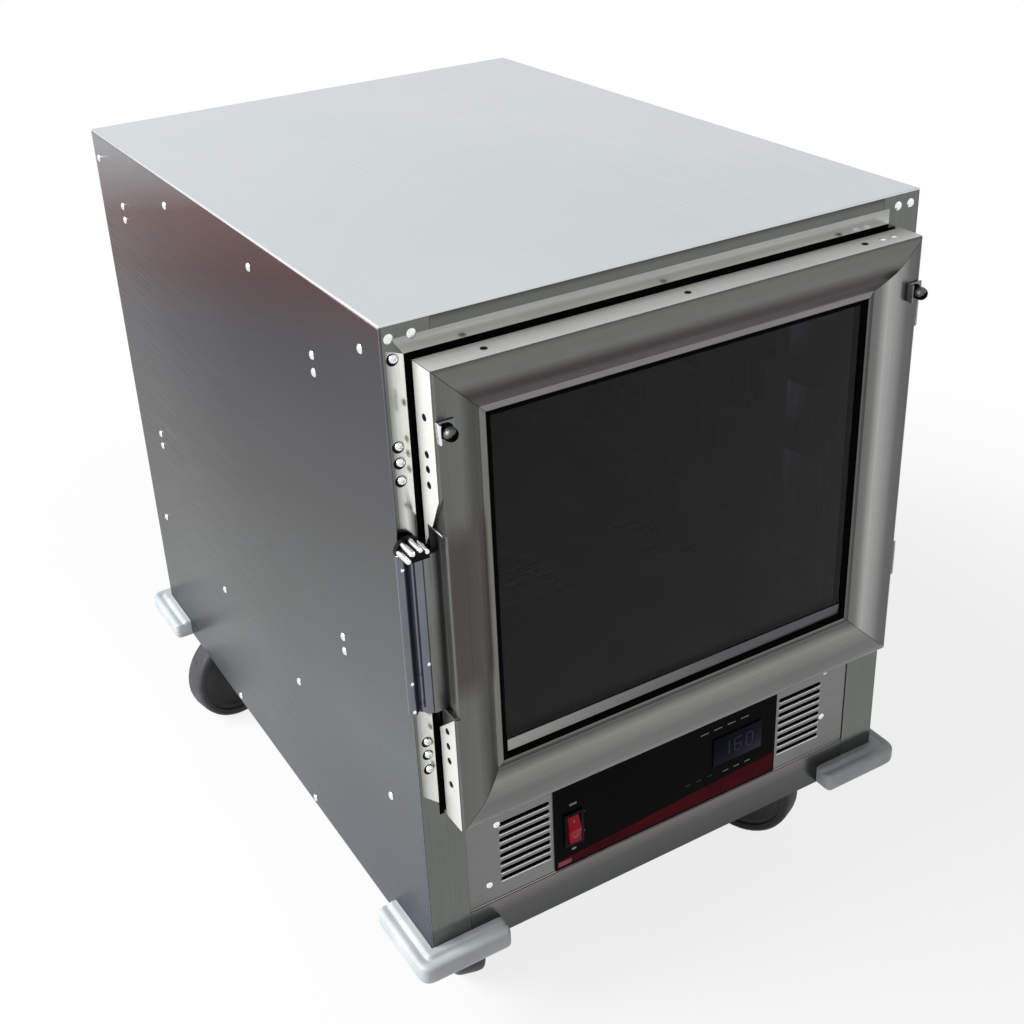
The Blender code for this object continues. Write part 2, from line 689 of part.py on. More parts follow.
def build_latch(looks):
    """A strike on the face frame, and a lined pocket in the door with a sprung lever on a pin."""
    strike_low = (LEFT + STRIKE_INSET, FRONT - GAP - STRIKE_THICKNESS, LATCH_MIDDLE - STRIKE_HEIGHT / 2)
    strike_high = (strike_low[0] + STRIKE_WIDTH, FRONT - GAP, LATCH_MIDDLE + STRIKE_HEIGHT / 2)
    add("latch_strike", box(strike_low, strike_high), looks["chrome"])

    lining = box(
        (DOOR_LEFT, DOOR_FRONT, LATCH_BOTTOM + GAP),
        (DOOR_LEFT + POCKET_WIDTH - GAP, DOOR_FRONT + POCKET_DEPTH - GAP, LATCH_TOP - GAP),
    )
    base = add("latch_base", lining, looks["casting"])
    cut(base, latch_pocket(GAP + LATCH_SHEET))
    x = DOOR_LEFT + LATCH_PIN_INSET
    y = DOOR_FRONT + LATCH_PIN_SETBACK
    hole = LATCH_PIN + PIN_CLEARANCE
    cut(base, rod((x, y, LATCH_BOTTOM - LATCH_SHEET), (x, y, LATCH_TOP + LATCH_SHEET), hole))

    low = LATCH_BOTTOM + GAP + LATCH_SHEET + SWING_CLEARANCE
    high = LATCH_TOP - GAP - LATCH_SHEET - SWING_CLEARANCE
    left = LEFT - LEVER_OVERHANG
    right = DOOR_LEFT - SWING_CLEARANCE
    front = DOOR_FRONT + LEVER_SETBACK
    floor = front + LEVER_GROOVE
    outline = [
        (left, front),
        (left + LEVER_RIDGE, front),
        (left + LEVER_RIDGE, floor),
        (right - LEVER_RIDGE, floor),
        (right - LEVER_RIDGE, front),
        (right, front),
        (right, front + LEVER_DEPTH),
        (left, front + LEVER_DEPTH),
    ]
    bar = prism([(a, b, low) for a, b in outline], (0, 0, high - low))
    lever = add("latch_lever", bar, looks["chrome"], (x, y, low))
    web_low = (right - LEVER_RIDGE / 2, y + LATCH_BARREL - LEVER_WEB, low)
    join(
        lever,
        box(web_low, (x, y + LATCH_BARREL, high)),
        rod((x, y, low), (x, y, high), LATCH_BARREL),
        rod((x, y, LATCH_BOTTOM + GAP), (x, y, LATCH_TOP - GAP), LATCH_PIN),
    )
    return [base], lever


def around_switch(x_margin, z_margin, front, back):
    """A box round the middle of the switch, narrower than its bezel by the margins."""
    x = PANEL_LEFT + SWITCH_INSET
    z = MODULE_BOTTOM + SWITCH_LIFT
    wide = BEZEL_WIDTH / 2 - x_margin
    tall = BEZEL_HEIGHT / 2 - z_margin
    return box((x - wide, front, z - tall), (x + wide, back, z + tall))


def build_controls(looks):
    """The module's louvred front, the control panel, the power switch and the display."""
    low = (LEFT + POST_WIDTH + GAP, MODULE_FRONT, MODULE_BOTTOM)
    high = (RIGHT - POST_WIDTH - GAP, MODULE_FRONT + MODULE_SHEET, MODULE_TOP)
    front = add("module_front_panel", box(low, high), looks["aluminium"])
    slots = []
    for middle in (LEFT + VENT_INSET, RIGHT - VENT_INSET):
        for index in range(VENT_SLOTS):
            z = MODULE_BOTTOM + VENT_FIRST + index * VENT_SLOT_PITCH
            slot_low = (middle - VENT_SLOT_LENGTH / 2, FRONT - MODULE_SHEET, z - VENT_SLOT_HEIGHT / 2)
            slot_high = (middle + VENT_SLOT_LENGTH / 2, FRAME_BACK, z + VENT_SLOT_HEIGHT / 2)
            slots.append((slot_low, slot_high))
    cut(front, boxes(slots))
    neck = BEZEL_NECK - PIN_CLEARANCE
    cut(front, around_switch(neck, neck, DOOR_FRONT, FRAME_BACK))

    foot = MODULE_BOTTOM + PANEL_FOOT
    panel_high = (PANEL_RIGHT, MODULE_FRONT - GAP, foot + PANEL_HEIGHT)
    panel = add("control_panel", box((PANEL_LEFT, PANEL_FRONT, foot), panel_high), looks["panel"])
    cut(panel, around_switch(neck, neck, DOOR_FRONT, FRAME_BACK))

    bezel_front = PANEL_FRONT - GAP - BEZEL_FLANGE
    bezel = add("rocker_bezel", around_switch(0, 0, bezel_front, PANEL_FRONT - GAP), looks["panel"])
    join(bezel, around_switch(BEZEL_NECK, BEZEL_NECK, bezel_front, PANEL_FRONT + BEZEL_DEPTH))
    cut(bezel, around_switch(BEZEL_RIM, BEZEL_RIM, DOOR_FRONT, PANEL_FRONT + 2 * BEZEL_DEPTH))
    build_rocker(looks, bezel_front)

    x = PANEL_RIGHT - DISPLAY_INSET
    z = MODULE_BOTTOM + DISPLAY_LIFT
    lens_low = (x - DISPLAY_WIDTH / 2, PANEL_FRONT - GAP - DISPLAY_THICKNESS, z - DISPLAY_HEIGHT / 2)
    lens_high = (x + DISPLAY_WIDTH / 2, PANEL_FRONT - GAP, z + DISPLAY_HEIGHT / 2)
    add("display_window", box(lens_low, lens_high), looks["lens"])


def build_rocker(looks, bezel_front):
    """The lit rocker, built level about its pivot and then tilted to its pressed end."""
    wide = BEZEL_WIDTH / 2 - BEZEL_RIM - SWING_CLEARANCE
    tall = BEZEL_HEIGHT / 2 - BEZEL_RIM - SWING_CLEARANCE
    x = PANEL_LEFT + SWITCH_INSET
    pivot = (x, bezel_front + ROCKER_DEPTH / 2, MODULE_BOTTOM + SWITCH_LIFT)
    outline = [
        (bezel_front, pivot[2] - tall),
        (bezel_front - ROCKER_CROWN, pivot[2]),
        (bezel_front, pivot[2] + tall),
        (bezel_front + ROCKER_DEPTH, pivot[2] + tall * ROCKER_BACK),
        (bezel_front + ROCKER_DEPTH, pivot[2] - tall * ROCKER_BACK),
    ]
    key = prism([(x - wide, y, z) for y, z in outline], (2 * wide, 0, 0))
    rocker = add("power_rocker", key, looks["rocker"], pivot)
    rocker.rotation_euler = (-ROCKER_TILT, 0, 0)


def inlet_body(margin):
    """The body of the power inlet behind its flange, larger by a margin all round."""
    x = LEFT + INLET_INSET
    z = BASE + INLET_LIFT
    wide = INLET_WIDTH / 2 - INLET_NECK + margin
    tall = INLET_HEIGHT / 2 - INLET_FLANGE + margin
    return box((x - wide, BACK - INLET_DEPTH, z - tall), (x + wide, BACK + INLET_FLANGE, z + tall))


def build_heater(looks):
    """The tray with the fan, its motor, the heating element, the controller and the inlet."""
    tray_low = PAN_BOTTOM + BASE_SHEET + TRAY_LIFT
    left = LEFT + TRAY_INSET
    right = RIGHT - TRAY_INSET
    near = FRAME_BACK + SWING_CLEARANCE
    far = near + TRAY_LENGTH
    outline = [
        (left, tray_low),
        (right, tray_low),
        (right, tray_low + TRAY_WALL),
        (right - SHEET, tray_low + TRAY_WALL),
        (right - SHEET, tray_low + SHEET),
        (left + SHEET, tray_low + SHEET),
        (left + SHEET, tray_low + TRAY_WALL),
        (left, tray_low + TRAY_WALL),
    ]
    add("module_tray", prism([(x, near, z) for x, z in outline], (0, far - near, 0)), looks["liner"])

    motor_low = tray_low + SHEET + GAP
    boss_top = FAN_BOTTOM - SWING_CLEARANCE
    can_top = boss_top - MOTOR_BOSS_HEIGHT
    can = rod((FAN_X, FAN_Y, motor_low), (FAN_X, FAN_Y, can_top), MOTOR_RADIUS)
    motor = add("fan_motor", can, looks["motor"], smooth=True)
    join(motor, rod((FAN_X, FAN_Y, can_top - SHEET), (FAN_X, FAN_Y, boss_top), MOTOR_BOSS))
    build_fan_wheel(looks)
    build_element(looks)

    box_left = FAN_X - CONTROLLER_WIDTH / 2
    box_front = FRAME_BACK + CONTROLLER_SETBACK
    box_low = tray_low + SHEET + GAP
    box_high = (box_left + CONTROLLER_WIDTH, box_front + CONTROLLER_DEPTH, box_low + CONTROLLER_HEIGHT)
    add("controller_box", box((box_left, box_front, box_low), box_high), looks["panel"])

    x = LEFT + INLET_INSET
    z = BASE + INLET_LIFT
    wide = INLET_WIDTH / 2
    tall = INLET_HEIGHT / 2
    rim_low = (x - wide, BACK + GAP, z - tall)
    inlet = box(rim_low, (x + wide, BACK + GAP + INLET_FLANGE, z + tall))
    inlet = add("power_inlet", inlet, looks["panel"])
    join(inlet, inlet_body(0.0))
    mouth_low = (x - SOCKET_WIDTH / 2, BACK + INLET_FLANGE - SOCKET_DEPTH, z - SOCKET_HEIGHT / 2)
    mouth_high = (x + SOCKET_WIDTH / 2, BACK + 2 * INLET_FLANGE, z + SOCKET_HEIGHT / 2)
    cut(inlet, box(mouth_low, mouth_high))


def build_fan_wheel(looks):
    """A disc with a hub and straight blades."""
    hub = rod((FAN_X, FAN_Y, FAN_BOTTOM), (FAN_X, FAN_Y, FAN_TOP), FAN_HUB)
    wheel = add("fan_wheel", hub, looks["liner"], (FAN_X, FAN_Y, FAN_BOTTOM))
    disc_top = FAN_BOTTOM + 2 * FAN_DISC
    join(wheel, rod((FAN_X, FAN_Y, FAN_BOTTOM + FAN_DISC), (FAN_X, FAN_Y, disc_top), FAN_RADIUS))
    for index in range(FAN_BLADES):
        inner = FAN_RADIUS - FAN_BLADE_LENGTH
        outer = FAN_RADIUS - FAN_DISC
        blade = box((inner, -FAN_BLADE / 2, disc_top - FAN_DISC / 2), (outer, FAN_BLADE / 2, FAN_TOP))
        turn = Matrix.Rotation(2 * math.pi * index / FAN_BLADES, 4, "Z")
        place = Matrix.Translation((FAN_X, FAN_Y, 0)) @ turn
        bmesh.ops.transform(blade, matrix=place, verts=blade.verts)
        join(wheel, blade)


def build_element(looks):
    """A tubular heating element: an open ring round the fan with two legs towards the front."""
    height = FLOOR_TOP - SHEET - ELEMENT_DROP
    start = -math.pi / 2 + ELEMENT_OPENING / 2
    sweep = 2 * math.pi - ELEMENT_OPENING
    ring = []
    for index in range(ELEMENT_POINTS + 1):
        angle = start + sweep * index / ELEMENT_POINTS
        ring.append((FAN_X + ELEMENT_RADIUS * math.cos(angle), FAN_Y + ELEMENT_RADIUS * math.sin(angle)))
    first = (ring[0][0], ring[0][1] - ELEMENT_LEG)
    last = (ring[-1][0], ring[-1][1] - ELEMENT_LEG)
    route = [first, *ring, last]
    curve = bpy.data.curves.new("heating_element", "CURVE")
    curve.dimensions = "3D"
    curve.bevel_depth = ELEMENT_TUBE
    curve.bevel_resolution = BEVEL_STEPS
    curve.use_fill_caps = True
    spline = curve.splines.new("POLY")
    spline.points.add(len(route) - 1)
    for point, (x, y) in zip(spline.points, route):
        point.co = (x, y, height, 1.0)
    curve.materials.append(looks["motor"])
    made = bpy.data.objects.new("heating_element", curve)
    bpy.context.scene.collection.objects.link(made)


def wheel_outline():
    """Half section of a wheel: (radius, place along the axle), round its closed outline."""
    facet = 1 / math.cos(math.pi / WHEEL_SEGMENTS)
    tread = WHEEL_RADIUS * facet
    rim = tread - TREAD_DEPTH
    bore = AXLE_RADIUS + PIN_CLEARANCE
    half = WHEEL_WIDTH / 2
    web = WEB_WIDTH / 2
    side = [
        (bore, half),
        (HUB_RADIUS, half),
        (HUB_RADIUS, web),
        (rim - TREAD_CHAMFER, web),
        (rim, half - TREAD_CHAMFER),
        (tread - TREAD_CHAMFER, half),
        (tread, half - TREAD_CHAMFER),
    ]
    return side + [(radius, -place) for radius, place in reversed(side)]


def turned_wheel():
    """A wheel about the Y axis, with a flat facet where it meets the floor."""
    shape = bmesh.new()
    verts = [shape.verts.new((radius, place, 0)) for radius, place in wheel_outline()]
    edges = [shape.edges.new((a, b)) for a, b in zip(verts, verts[1:] + verts[:1])]
    bmesh.ops.spin(
        shape,
        geom=verts + edges,
        cent=(0, 0, 0),
        axis=(0, 1, 0),
        angle=2 * math.pi,
        steps=WHEEL_SEGMENTS,
        use_merge=True,
    )
    to_floor = math.pi / 2 + math.pi / WHEEL_SEGMENTS
    bmesh.ops.rotate(shape, verts=shape.verts, matrix=Matrix.Rotation(to_floor, 3, "Y"))
    return shape


def build_casters(looks):
    """A plate under each corner of the body, with a swivelling yoke and a wheel on its axle."""
    x = BODY_WIDTH / 2 - CASTER_INSET_X
    spots = {
        "front_left": (-x, FRONT + CASTER_INSET_Y),
        "front_right": (x, FRONT + CASTER_INSET_Y),
        "rear_left": (-x, BACK - CASTER_INSET_Y),
        "rear_right": (x, BACK - CASTER_INSET_Y),
    }
    for name, (x, y) in spots.items():
        plate_top = PAN_BOTTOM - GAP
        plate_low = plate_top - PLATE_THICKNESS
        race_low = plate_low - RACE_HEIGHT
        corner = (x - PLATE_WIDTH / 2, y - PLATE_LENGTH / 2, plate_low)
        plate = box(corner, (x + PLATE_WIDTH / 2, y + PLATE_LENGTH / 2, plate_top))
        plate = add("caster_plate_" + name, plate, looks["zinc"])
        join(plate, rod((x, y, race_low), (x, y, plate_low + PLATE_THICKNESS / 2), RACE_RADIUS))

        turn = Matrix.Rotation(math.radians(CASTER_HEADINGS[name]), 4, "Z")
        place = Matrix.Translation((x, y, 0)) @ turn
        yoke = build_yoke(name, race_low - GAP, place, looks)
        hub = place @ Vector((WHEEL_LEAD, 0, WHEEL_RADIUS))
        wheel = turned_wheel()
        bmesh.ops.transform(wheel, matrix=Matrix.Translation(hub) @ turn, verts=wheel.verts)
        wheel = add("caster_wheel_" + name, wheel, looks["tyre"], hub, smooth=True)
        hang([wheel], yoke)


def build_yoke(name, top, place, looks):
    """The swivelling yoke of a caster: a disc, two legs and the axle between them."""
    low = top - YOKE_SHEET
    disc = rod((0, 0, low), (0, 0, top), YOKE_RADIUS)
    bmesh.ops.transform(disc, matrix=place, verts=disc.verts)
    pivot = place @ Vector((0, 0, top))
    yoke = add("caster_yoke_" + name, disc, looks["zinc"], pivot)
    inner = WHEEL_WIDTH / 2 + WHEEL_SIDE_CLEARANCE
    turn = YOKE_BOSS_TURN
    boss = arc((WHEEL_LEAD, WHEEL_RADIUS), YOKE_BOSS, turn, -180 - turn, 2 * CURVE_STEPS)
    outline = [(-YOKE_LEG_TOP, top - YOKE_SHEET / 2), (YOKE_LEG_TOP, top - YOKE_SHEET / 2), *boss]
    shapes = []
    for start in (inner, -inner - YOKE_LEG):
        shapes.append(prism([(u, start, z) for u, z in outline], (0, YOKE_LEG, 0)))
    end = inner + YOKE_LEG + AXLE_END
    axle = rod((WHEEL_LEAD, -end, WHEEL_RADIUS), (WHEEL_LEAD, end, WHEEL_RADIUS), AXLE_RADIUS)
    for shape in [*shapes, axle]:
        bmesh.ops.transform(shape, matrix=place, verts=shape.verts)
        join(yoke, shape)
    return yoke


def build():
    """Builds the whole cabinet."""
    for old in list(bpy.data.objects):
        bpy.data.objects.remove(old)
    looks = {
        "aluminium": finish("satin aluminium", (0.42, 0.43, 0.44), 0.38, 1.0),
        "polished": finish("polished aluminium", (0.46, 0.46, 0.45), 0.22, 1.0),
        "liner": finish("mill finish aluminium", (0.50, 0.50, 0.50), 0.45, 1.0),
        "anodised": finish("anodised aluminium", (0.36, 0.37, 0.34), 0.34, 1.0),
        "insulation": finish("mineral wool", (0.55, 0.47, 0.30), 0.95, 0.0),
        "bumper": finish("grey moulded rubber", (0.42, 0.45, 0.45), 0.50, 0.0),
        "glass": finish("dark tempered glass", (0.03, 0.03, 0.035), 0.05, 0.0),
        "seal": finish("black rubber", (0.015, 0.015, 0.016), 0.70, 0.0),
        "chrome": finish("chrome plate", (0.62, 0.63, 0.65), 0.12, 1.0),
        "casting": finish("grey die casting", (0.20, 0.20, 0.20), 0.45, 0.6),
        "panel": finish("black plastic", (0.012, 0.012, 0.014), 0.40, 0.0),
        "rocker": finish("red lit plastic", (0.72, 0.02, 0.04), 0.30, 0.0),
        "lens": finish("tinted lens", (0.05, 0.05, 0.12), 0.15, 0.0),
        "motor": finish("dark steel", (0.10, 0.10, 0.11), 0.45, 0.8),
        "zinc": finish("zinc plated steel", (0.48, 0.49, 0.50), 0.35, 1.0),
        "tyre": finish("caster rubber", (0.02, 0.02, 0.022), 0.60, 0.0),
    }
    build_shell(looks)
    build_face_frame(looks)
    build_bumpers(looks)
    build_racks(looks)
    door_pieces = build_door(looks) + build_hinges(looks)
    latch_pieces, lever = build_latch(looks)
    swing = empty("door_swing", (PIN_X, PIN_Y, DOOR_BOTTOM))
    hang([*door_pieces, *latch_pieces, lever], swing)
    build_controls(looks)
    build_heater(looks)
    build_casters(looks)


build()
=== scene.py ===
"""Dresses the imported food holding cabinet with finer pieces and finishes, and sets up a studio."""

import json
import logging
import math
from collections.abc import Callable, Iterable
from dataclasses import dataclass
from enum import Enum
from functools import partial, reduce

import bmesh
import bpy
from bmesh.types import BMEdge, BMesh, BMFace, BMVert
from mathutils import Matrix, Vector

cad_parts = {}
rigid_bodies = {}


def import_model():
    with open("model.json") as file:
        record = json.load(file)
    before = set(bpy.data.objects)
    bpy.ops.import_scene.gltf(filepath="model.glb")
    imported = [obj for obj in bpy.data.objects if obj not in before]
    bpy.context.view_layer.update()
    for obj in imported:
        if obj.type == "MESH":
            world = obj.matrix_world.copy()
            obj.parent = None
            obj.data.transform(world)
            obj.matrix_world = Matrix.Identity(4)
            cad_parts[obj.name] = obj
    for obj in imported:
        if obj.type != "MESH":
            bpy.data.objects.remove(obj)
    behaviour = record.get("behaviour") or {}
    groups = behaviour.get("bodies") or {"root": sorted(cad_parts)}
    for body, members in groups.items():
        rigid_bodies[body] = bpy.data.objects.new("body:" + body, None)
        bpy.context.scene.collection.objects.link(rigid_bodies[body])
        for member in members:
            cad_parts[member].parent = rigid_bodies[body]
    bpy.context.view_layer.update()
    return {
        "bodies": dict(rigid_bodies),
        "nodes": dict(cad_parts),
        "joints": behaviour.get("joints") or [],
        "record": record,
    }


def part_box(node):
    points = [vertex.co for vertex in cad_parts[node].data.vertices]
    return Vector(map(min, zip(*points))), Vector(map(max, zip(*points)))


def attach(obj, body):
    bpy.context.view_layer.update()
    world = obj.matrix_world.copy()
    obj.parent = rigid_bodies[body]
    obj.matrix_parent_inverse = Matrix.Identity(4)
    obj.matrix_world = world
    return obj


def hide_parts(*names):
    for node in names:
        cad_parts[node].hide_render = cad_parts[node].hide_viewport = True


LOG = logging.getLogger("holding_cabinet")
# Edges that turn by more than this stay sharp
SHARP = math.radians(38)
# The attribute that keeps how far a point lies in from its piece's edge
INSET = "inset"
# A gap that keeps faces out of one plane, and how far a cutter reaches past what it cuts
HAIR = 0.0001
PAST = 0.02
# How nearly a face has to look one way to count as looking there, and how near two places count as one
ALIGNED = 0.9
SAME = 1e-6
# The values that a noise pattern mostly keeps between, and the smoothest that a surface gets
USUAL = (0.3, 0.7)
SMOOTHEST = 0.02
UP = Vector((0.0, 0.0, 1.0))
WHITE = (1.0, 1.0, 1.0, 1.0)

Spot = tuple[float, float]
Place = tuple[float, float, float]
Spots = tuple[Spot, ...]
Socket = bpy.types.NodeSocket


class Facing(Enum):
    """The directions that the faces of the cabinet look in."""

    LEFT = (-1.0, 0.0, 0.0)
    RIGHT = (1.0, 0.0, 0.0)
    FRONT = (0.0, -1.0, 0.0)
    BACK = (0.0, 1.0, 0.0)
    TOP = (0.0, 0.0, 1.0)
    BELOW = (0.0, 0.0, -1.0)


class Edge(Enum):
    """The four sides of an upright frame, each with the direction in from it."""

    LEFT = (1.0, 0.0, 0.0)
    RIGHT = (-1.0, 0.0, 0.0)
    BOTTOM = (0.0, 0.0, 1.0)
    TOP = (0.0, 0.0, -1.0)


class Grain(Enum):
    """How the fine lines of a metal run: the stretch of the pattern along X, Y and Z."""

    ACROSS = (0.015, 1.0, 1.0)
    DEEP = (1.0, 0.015, 1.0)
    UPRIGHT = (1.0, 1.0, 0.015)
    NONE = (1.0, 1.0, 1.0)


# Finishes


def linear(code: str) -> tuple[float, float, float, float]:
    """Turns an sRGB colour, "#RRGGBB", into linear red, green and blue with a full alpha."""
    shares = [int(code[i : i + 2], 16) / 255 for i in (1, 3, 5)]
    red, green, blue = (s / 12.92 if s <= 0.04045 else ((s + 0.055) / 1.055) ** 2.4 for s in shares)
    return red, green, blue, 1.0


class Nodes:
    """A node tree and the shader that it feeds."""

    def __init__(self, tree: bpy.types.NodeTree, shader: str = "Principled BSDF") -> None:
        """Takes up a tree, with the name of its shader."""
        self.tree, self.shader = tree, tree.nodes[shader]

    def feed(self, node: bpy.types.Node, sockets: dict) -> None:
        """Gives each input of a node, by name or number, a value or the output that feeds it."""
        for name, value in sockets.items():
            if isinstance(value, Socket):
                self.tree.links.new(value, node.inputs[name])
            else:
                node.inputs[name].default_value = value

    def add(self, kind: str, sockets: dict, output: int | str = 0, **settings) -> Socket:
        """Adds a node.

        Args:
            kind: Blender's name for the kind of node, after "ShaderNode".
            sockets: Its inputs.
            output: Which of its outputs is wanted.
            settings: Its properties.

        Returns:
            The output.
        """
        made = self.tree.nodes.new("ShaderNode" + kind)
        for name, value in settings.items():
            setattr(made, name, value)
        self.feed(made, sockets)
        return made.outputs[output]

    def shade(self, sockets: dict) -> None:
        """Feeds the shader."""
        self.feed(self.shader, sockets)

    def place(self) -> Socket:
        """Where a point lies on its object."""
        return self.add("TexCoord", {}, "Object")

    def inset(self) -> Socket:
        """How far a point lies in from its piece's edge."""
        return self.add("Attribute", {}, "Fac", attribute_name=INSET)

    def math(self, operation: str, one: Socket, other: Socket) -> Socket:
        """Two values brought together."""
        return self.add("Math", {0: one, 1: other}, operation=operation)

    def remap(self, value: Socket, span: Spot, onto: Spot = (0.0, 1.0), **settings) -> Socket:
        """A value moved from one span onto another."""
        return self.add("MapRange", {0: value, 1: span[0], 2: span[1], 3: onto[0], 4: onto[1]}, **settings)

    def mix(self, share: Socket | float, one: object, other: object, blend: str = "MIX") -> Socket:
        """Two colours brought together, with this share of the other one."""
        return self.add("Mix", {0: share, 6: one, 7: other}, 2, data_type="RGBA", blend_type=blend)

    def bump(self, height: Socket, relief_mm: float) -> Socket:
        """The relief that a pattern gives a surface."""
        return self.add("Bump", {"Height": height, "Distance": relief_mm / 1000, "Strength": 0.6}, "Normal")

    def noise(
        self,
        size_mm: float,
        detail: float,
        roughness: float = 0.5,
        warp: float = 0.0,
        grain: Place | None = None,
    ) -> Socket:
        """A cloudy pattern.

        Args:
            size_mm: The size of its clouds.
            detail: How many finer layers it has.
            roughness: How strong these are.
            warp: How much it is distorted.
            grain: How it is stretched along X, Y and Z, if at all.

        Returns:
            Its value, about 0.5 in the middle.
        """
        where, scale = self.place(), 1000.0 / size_mm
        if grain:
            sizes = tuple(share * scale for share in grain)
            where, scale = self.add("Mapping", {"Vector": where, "Scale": sizes}, "Vector"), 1.0
        sockets = {"Vector": where, "Scale": scale, "Detail": detail, "Roughness": roughness}
        return self.add("TexNoise", {**sockets, "Distortion": warp}, "Fac")


@dataclass(frozen=True)
class Finish:
    """What every finish has: a name, its two colours and its roughness."""

    name: str
    tone: str
    shade: str
    roughness: float

    def material(self) -> bpy.types.Material:
        """The finish's material, made on its first use."""
        made = bpy.data.materials.get(self.name)
        if made is None:
            made = bpy.data.materials.new(self.name)
            made.use_nodes = True
            self.dress(Nodes(made.node_tree))
        return made

    def dress(self, nodes: Nodes) -> None:
        """Builds the nodes that feed the shader."""
        raise NotImplementedError

    def colour(self, nodes: Nodes, amount: Socket) -> Socket:
        """The finish's colour, with this amount of its shade from 0 to 1."""
        return nodes.mix(amount, linear(self.tone), linear(self.shade))

    def gloss(self, nodes: Nodes, pattern: Socket, swing: float) -> Socket:
        """The roughness, which swings this far to each side of its value with a pattern."""
        ends = (max(self.roughness - swing, SMOOTHEST), self.roughness + swing)
        return nodes.remap(pattern, USUAL, ends)


@dataclass(frozen=True)
class Metal(Finish):
    """Rolled, drawn or plated metal: fine lines from the rolls, and soft blotches from handling."""

    grain: Grain = Grain.NONE
    grain_mm: float = 1.2
    blotch_mm: float = 160.0
    relief_mm: float = 0.01
    metallic: float = 1.0

    def dress(self, nodes: Nodes) -> None:
        """Lines and blotches vary the colour, and the lines vary the gloss and the relief."""
        lines = nodes.noise(self.grain_mm, detail=3.0, grain=self.grain.value)
        blotch = nodes.noise(self.blotch_mm, detail=4.0, roughness=0.6)
        nodes.shade({
            "Base Color": self.colour(nodes, nodes.remap(nodes.math("ADD", lines, blotch), span=(0.7, 1.3))),
            "Roughness": self.gloss(nodes, lines, swing=0.05),
            "Normal": nodes.bump(lines, self.relief_mm),
            "Metallic": self.metallic,
        })


@dataclass(frozen=True)
class Patch:
    """A soft-edged area of another tone on a graded finish."""

    tone: str
    low: float
    high: float
    fade: float
    # distances in from the piece's edge, and how far the area fades out before and after them
    start: float
    end: float
    start_fade: float = 0.002
    end_fade: float = 0.003

    def lay(self, nodes: Nodes, under: Socket) -> Socket:
        """Mixes the area into the colour under it."""
        height, inset = nodes.add("SeparateXYZ", {0: nodes.place()}, "Z"), nodes.inset()
        shares = [
            nodes.remap(value, span, interpolation_type="SMOOTHSTEP")
            for value, span in (
                (height, (self.low, self.low + self.fade)),
                (height, (self.high, self.high - self.fade)),
                (inset, (self.start - self.start_fade, self.start)),
                (inset, (self.end + self.end_fade, self.end)),
            )
        ]
        return nodes.mix(reduce(partial(nodes.math, "MULTIPLY"), shares), under, linear(self.tone))


@dataclass(frozen=True)
class Graded(Metal):
    """Metal whose tone changes slowly along a direction, or across the section of its piece."""

    # the direction as (x, y, z), or none to follow the piece's own distance in from its edge
    along: Place | None = None
    # (place in metres, tone); the two colours of the finish only lay the grain over these
    stops: tuple[tuple[float, str], ...] = ()
    patch: Patch | None = None
    # the tone that the metal turns to at a glancing angle
    edge: str = "#FFFFFF"

    def dress(self, nodes: Nodes) -> None:
        """As any metal, with its own tone at a glancing angle."""
        super().dress(nodes)
        nodes.shade({"Specular Tint": linear(self.edge)})

    def colour(self, nodes: Nodes, amount: Socket) -> Socket:
        """The slow change of tone, with this amount of the grain's shade over it."""
        if self.along is None:
            place = nodes.inset()
        else:
            way = {0: nodes.place(), 1: self.along}
            place = nodes.add("VectorMath", way, "Value", operation="DOT_PRODUCT")
        first, last = self.stops[0][0], self.stops[-1][0]
        tone = nodes.add("ValToRGB", {0: nodes.remap(place, (first, last))}, "Color")
        marks = tone.node.color_ramp.elements
        while len(marks) < len(self.stops):
            marks.new(0.5)
        for mark, (spot, code) in zip(marks, self.stops):
            mark.position, mark.color = (spot - first) / (last - first), linear(code)
        if self.patch is not None:
            tone = self.patch.lay(nodes, tone)
        return nodes.mix(1.0, tone, super().colour(nodes, amount), "MULTIPLY")


@dataclass(frozen=True)
class Moulding(Finish):
    """Moulded plastic or rubber: the fine grit of the mould and slow changes of colour."""

    grit_mm: float = 1.5
    relief_mm: float = 0.05
    cloud_mm: float = 60.0
    ior: float = 1.5

    def dress(self, nodes: Nodes) -> None:
        """Grit makes the relief and the gloss, and slow clouds the colour."""
        pits = nodes.noise(self.grit_mm, detail=2.0)
        cloud = nodes.noise(self.cloud_mm, detail=5.0, roughness=0.6)
        nodes.shade({
            "Base Color": self.colour(nodes, nodes.remap(cloud, span=(0.35, 0.7))),
            "Roughness": self.gloss(nodes, pits, swing=0.07),
            "Normal": nodes.bump(pits, self.relief_mm),
            "IOR": self.ior,
        })


@dataclass(frozen=True)
class Glass(Finish):
    """Float glass: a smooth dark tint with faint wiping marks in its gloss."""

    wipe_mm: float = 90.0
    ior: float = 1.2

    def dress(self, nodes: Nodes) -> None:
        """Wiping marks vary the tint and the gloss a little."""
        wipe = nodes.noise(self.wipe_mm, detail=3.0, warp=0.6)
        nodes.shade({
            "Base Color": self.colour(nodes, wipe),
            "Roughness": self.gloss(nodes, wipe, swing=0.01),
            "Transmission Weight": 1.0,
            "IOR": self.ior,
        })


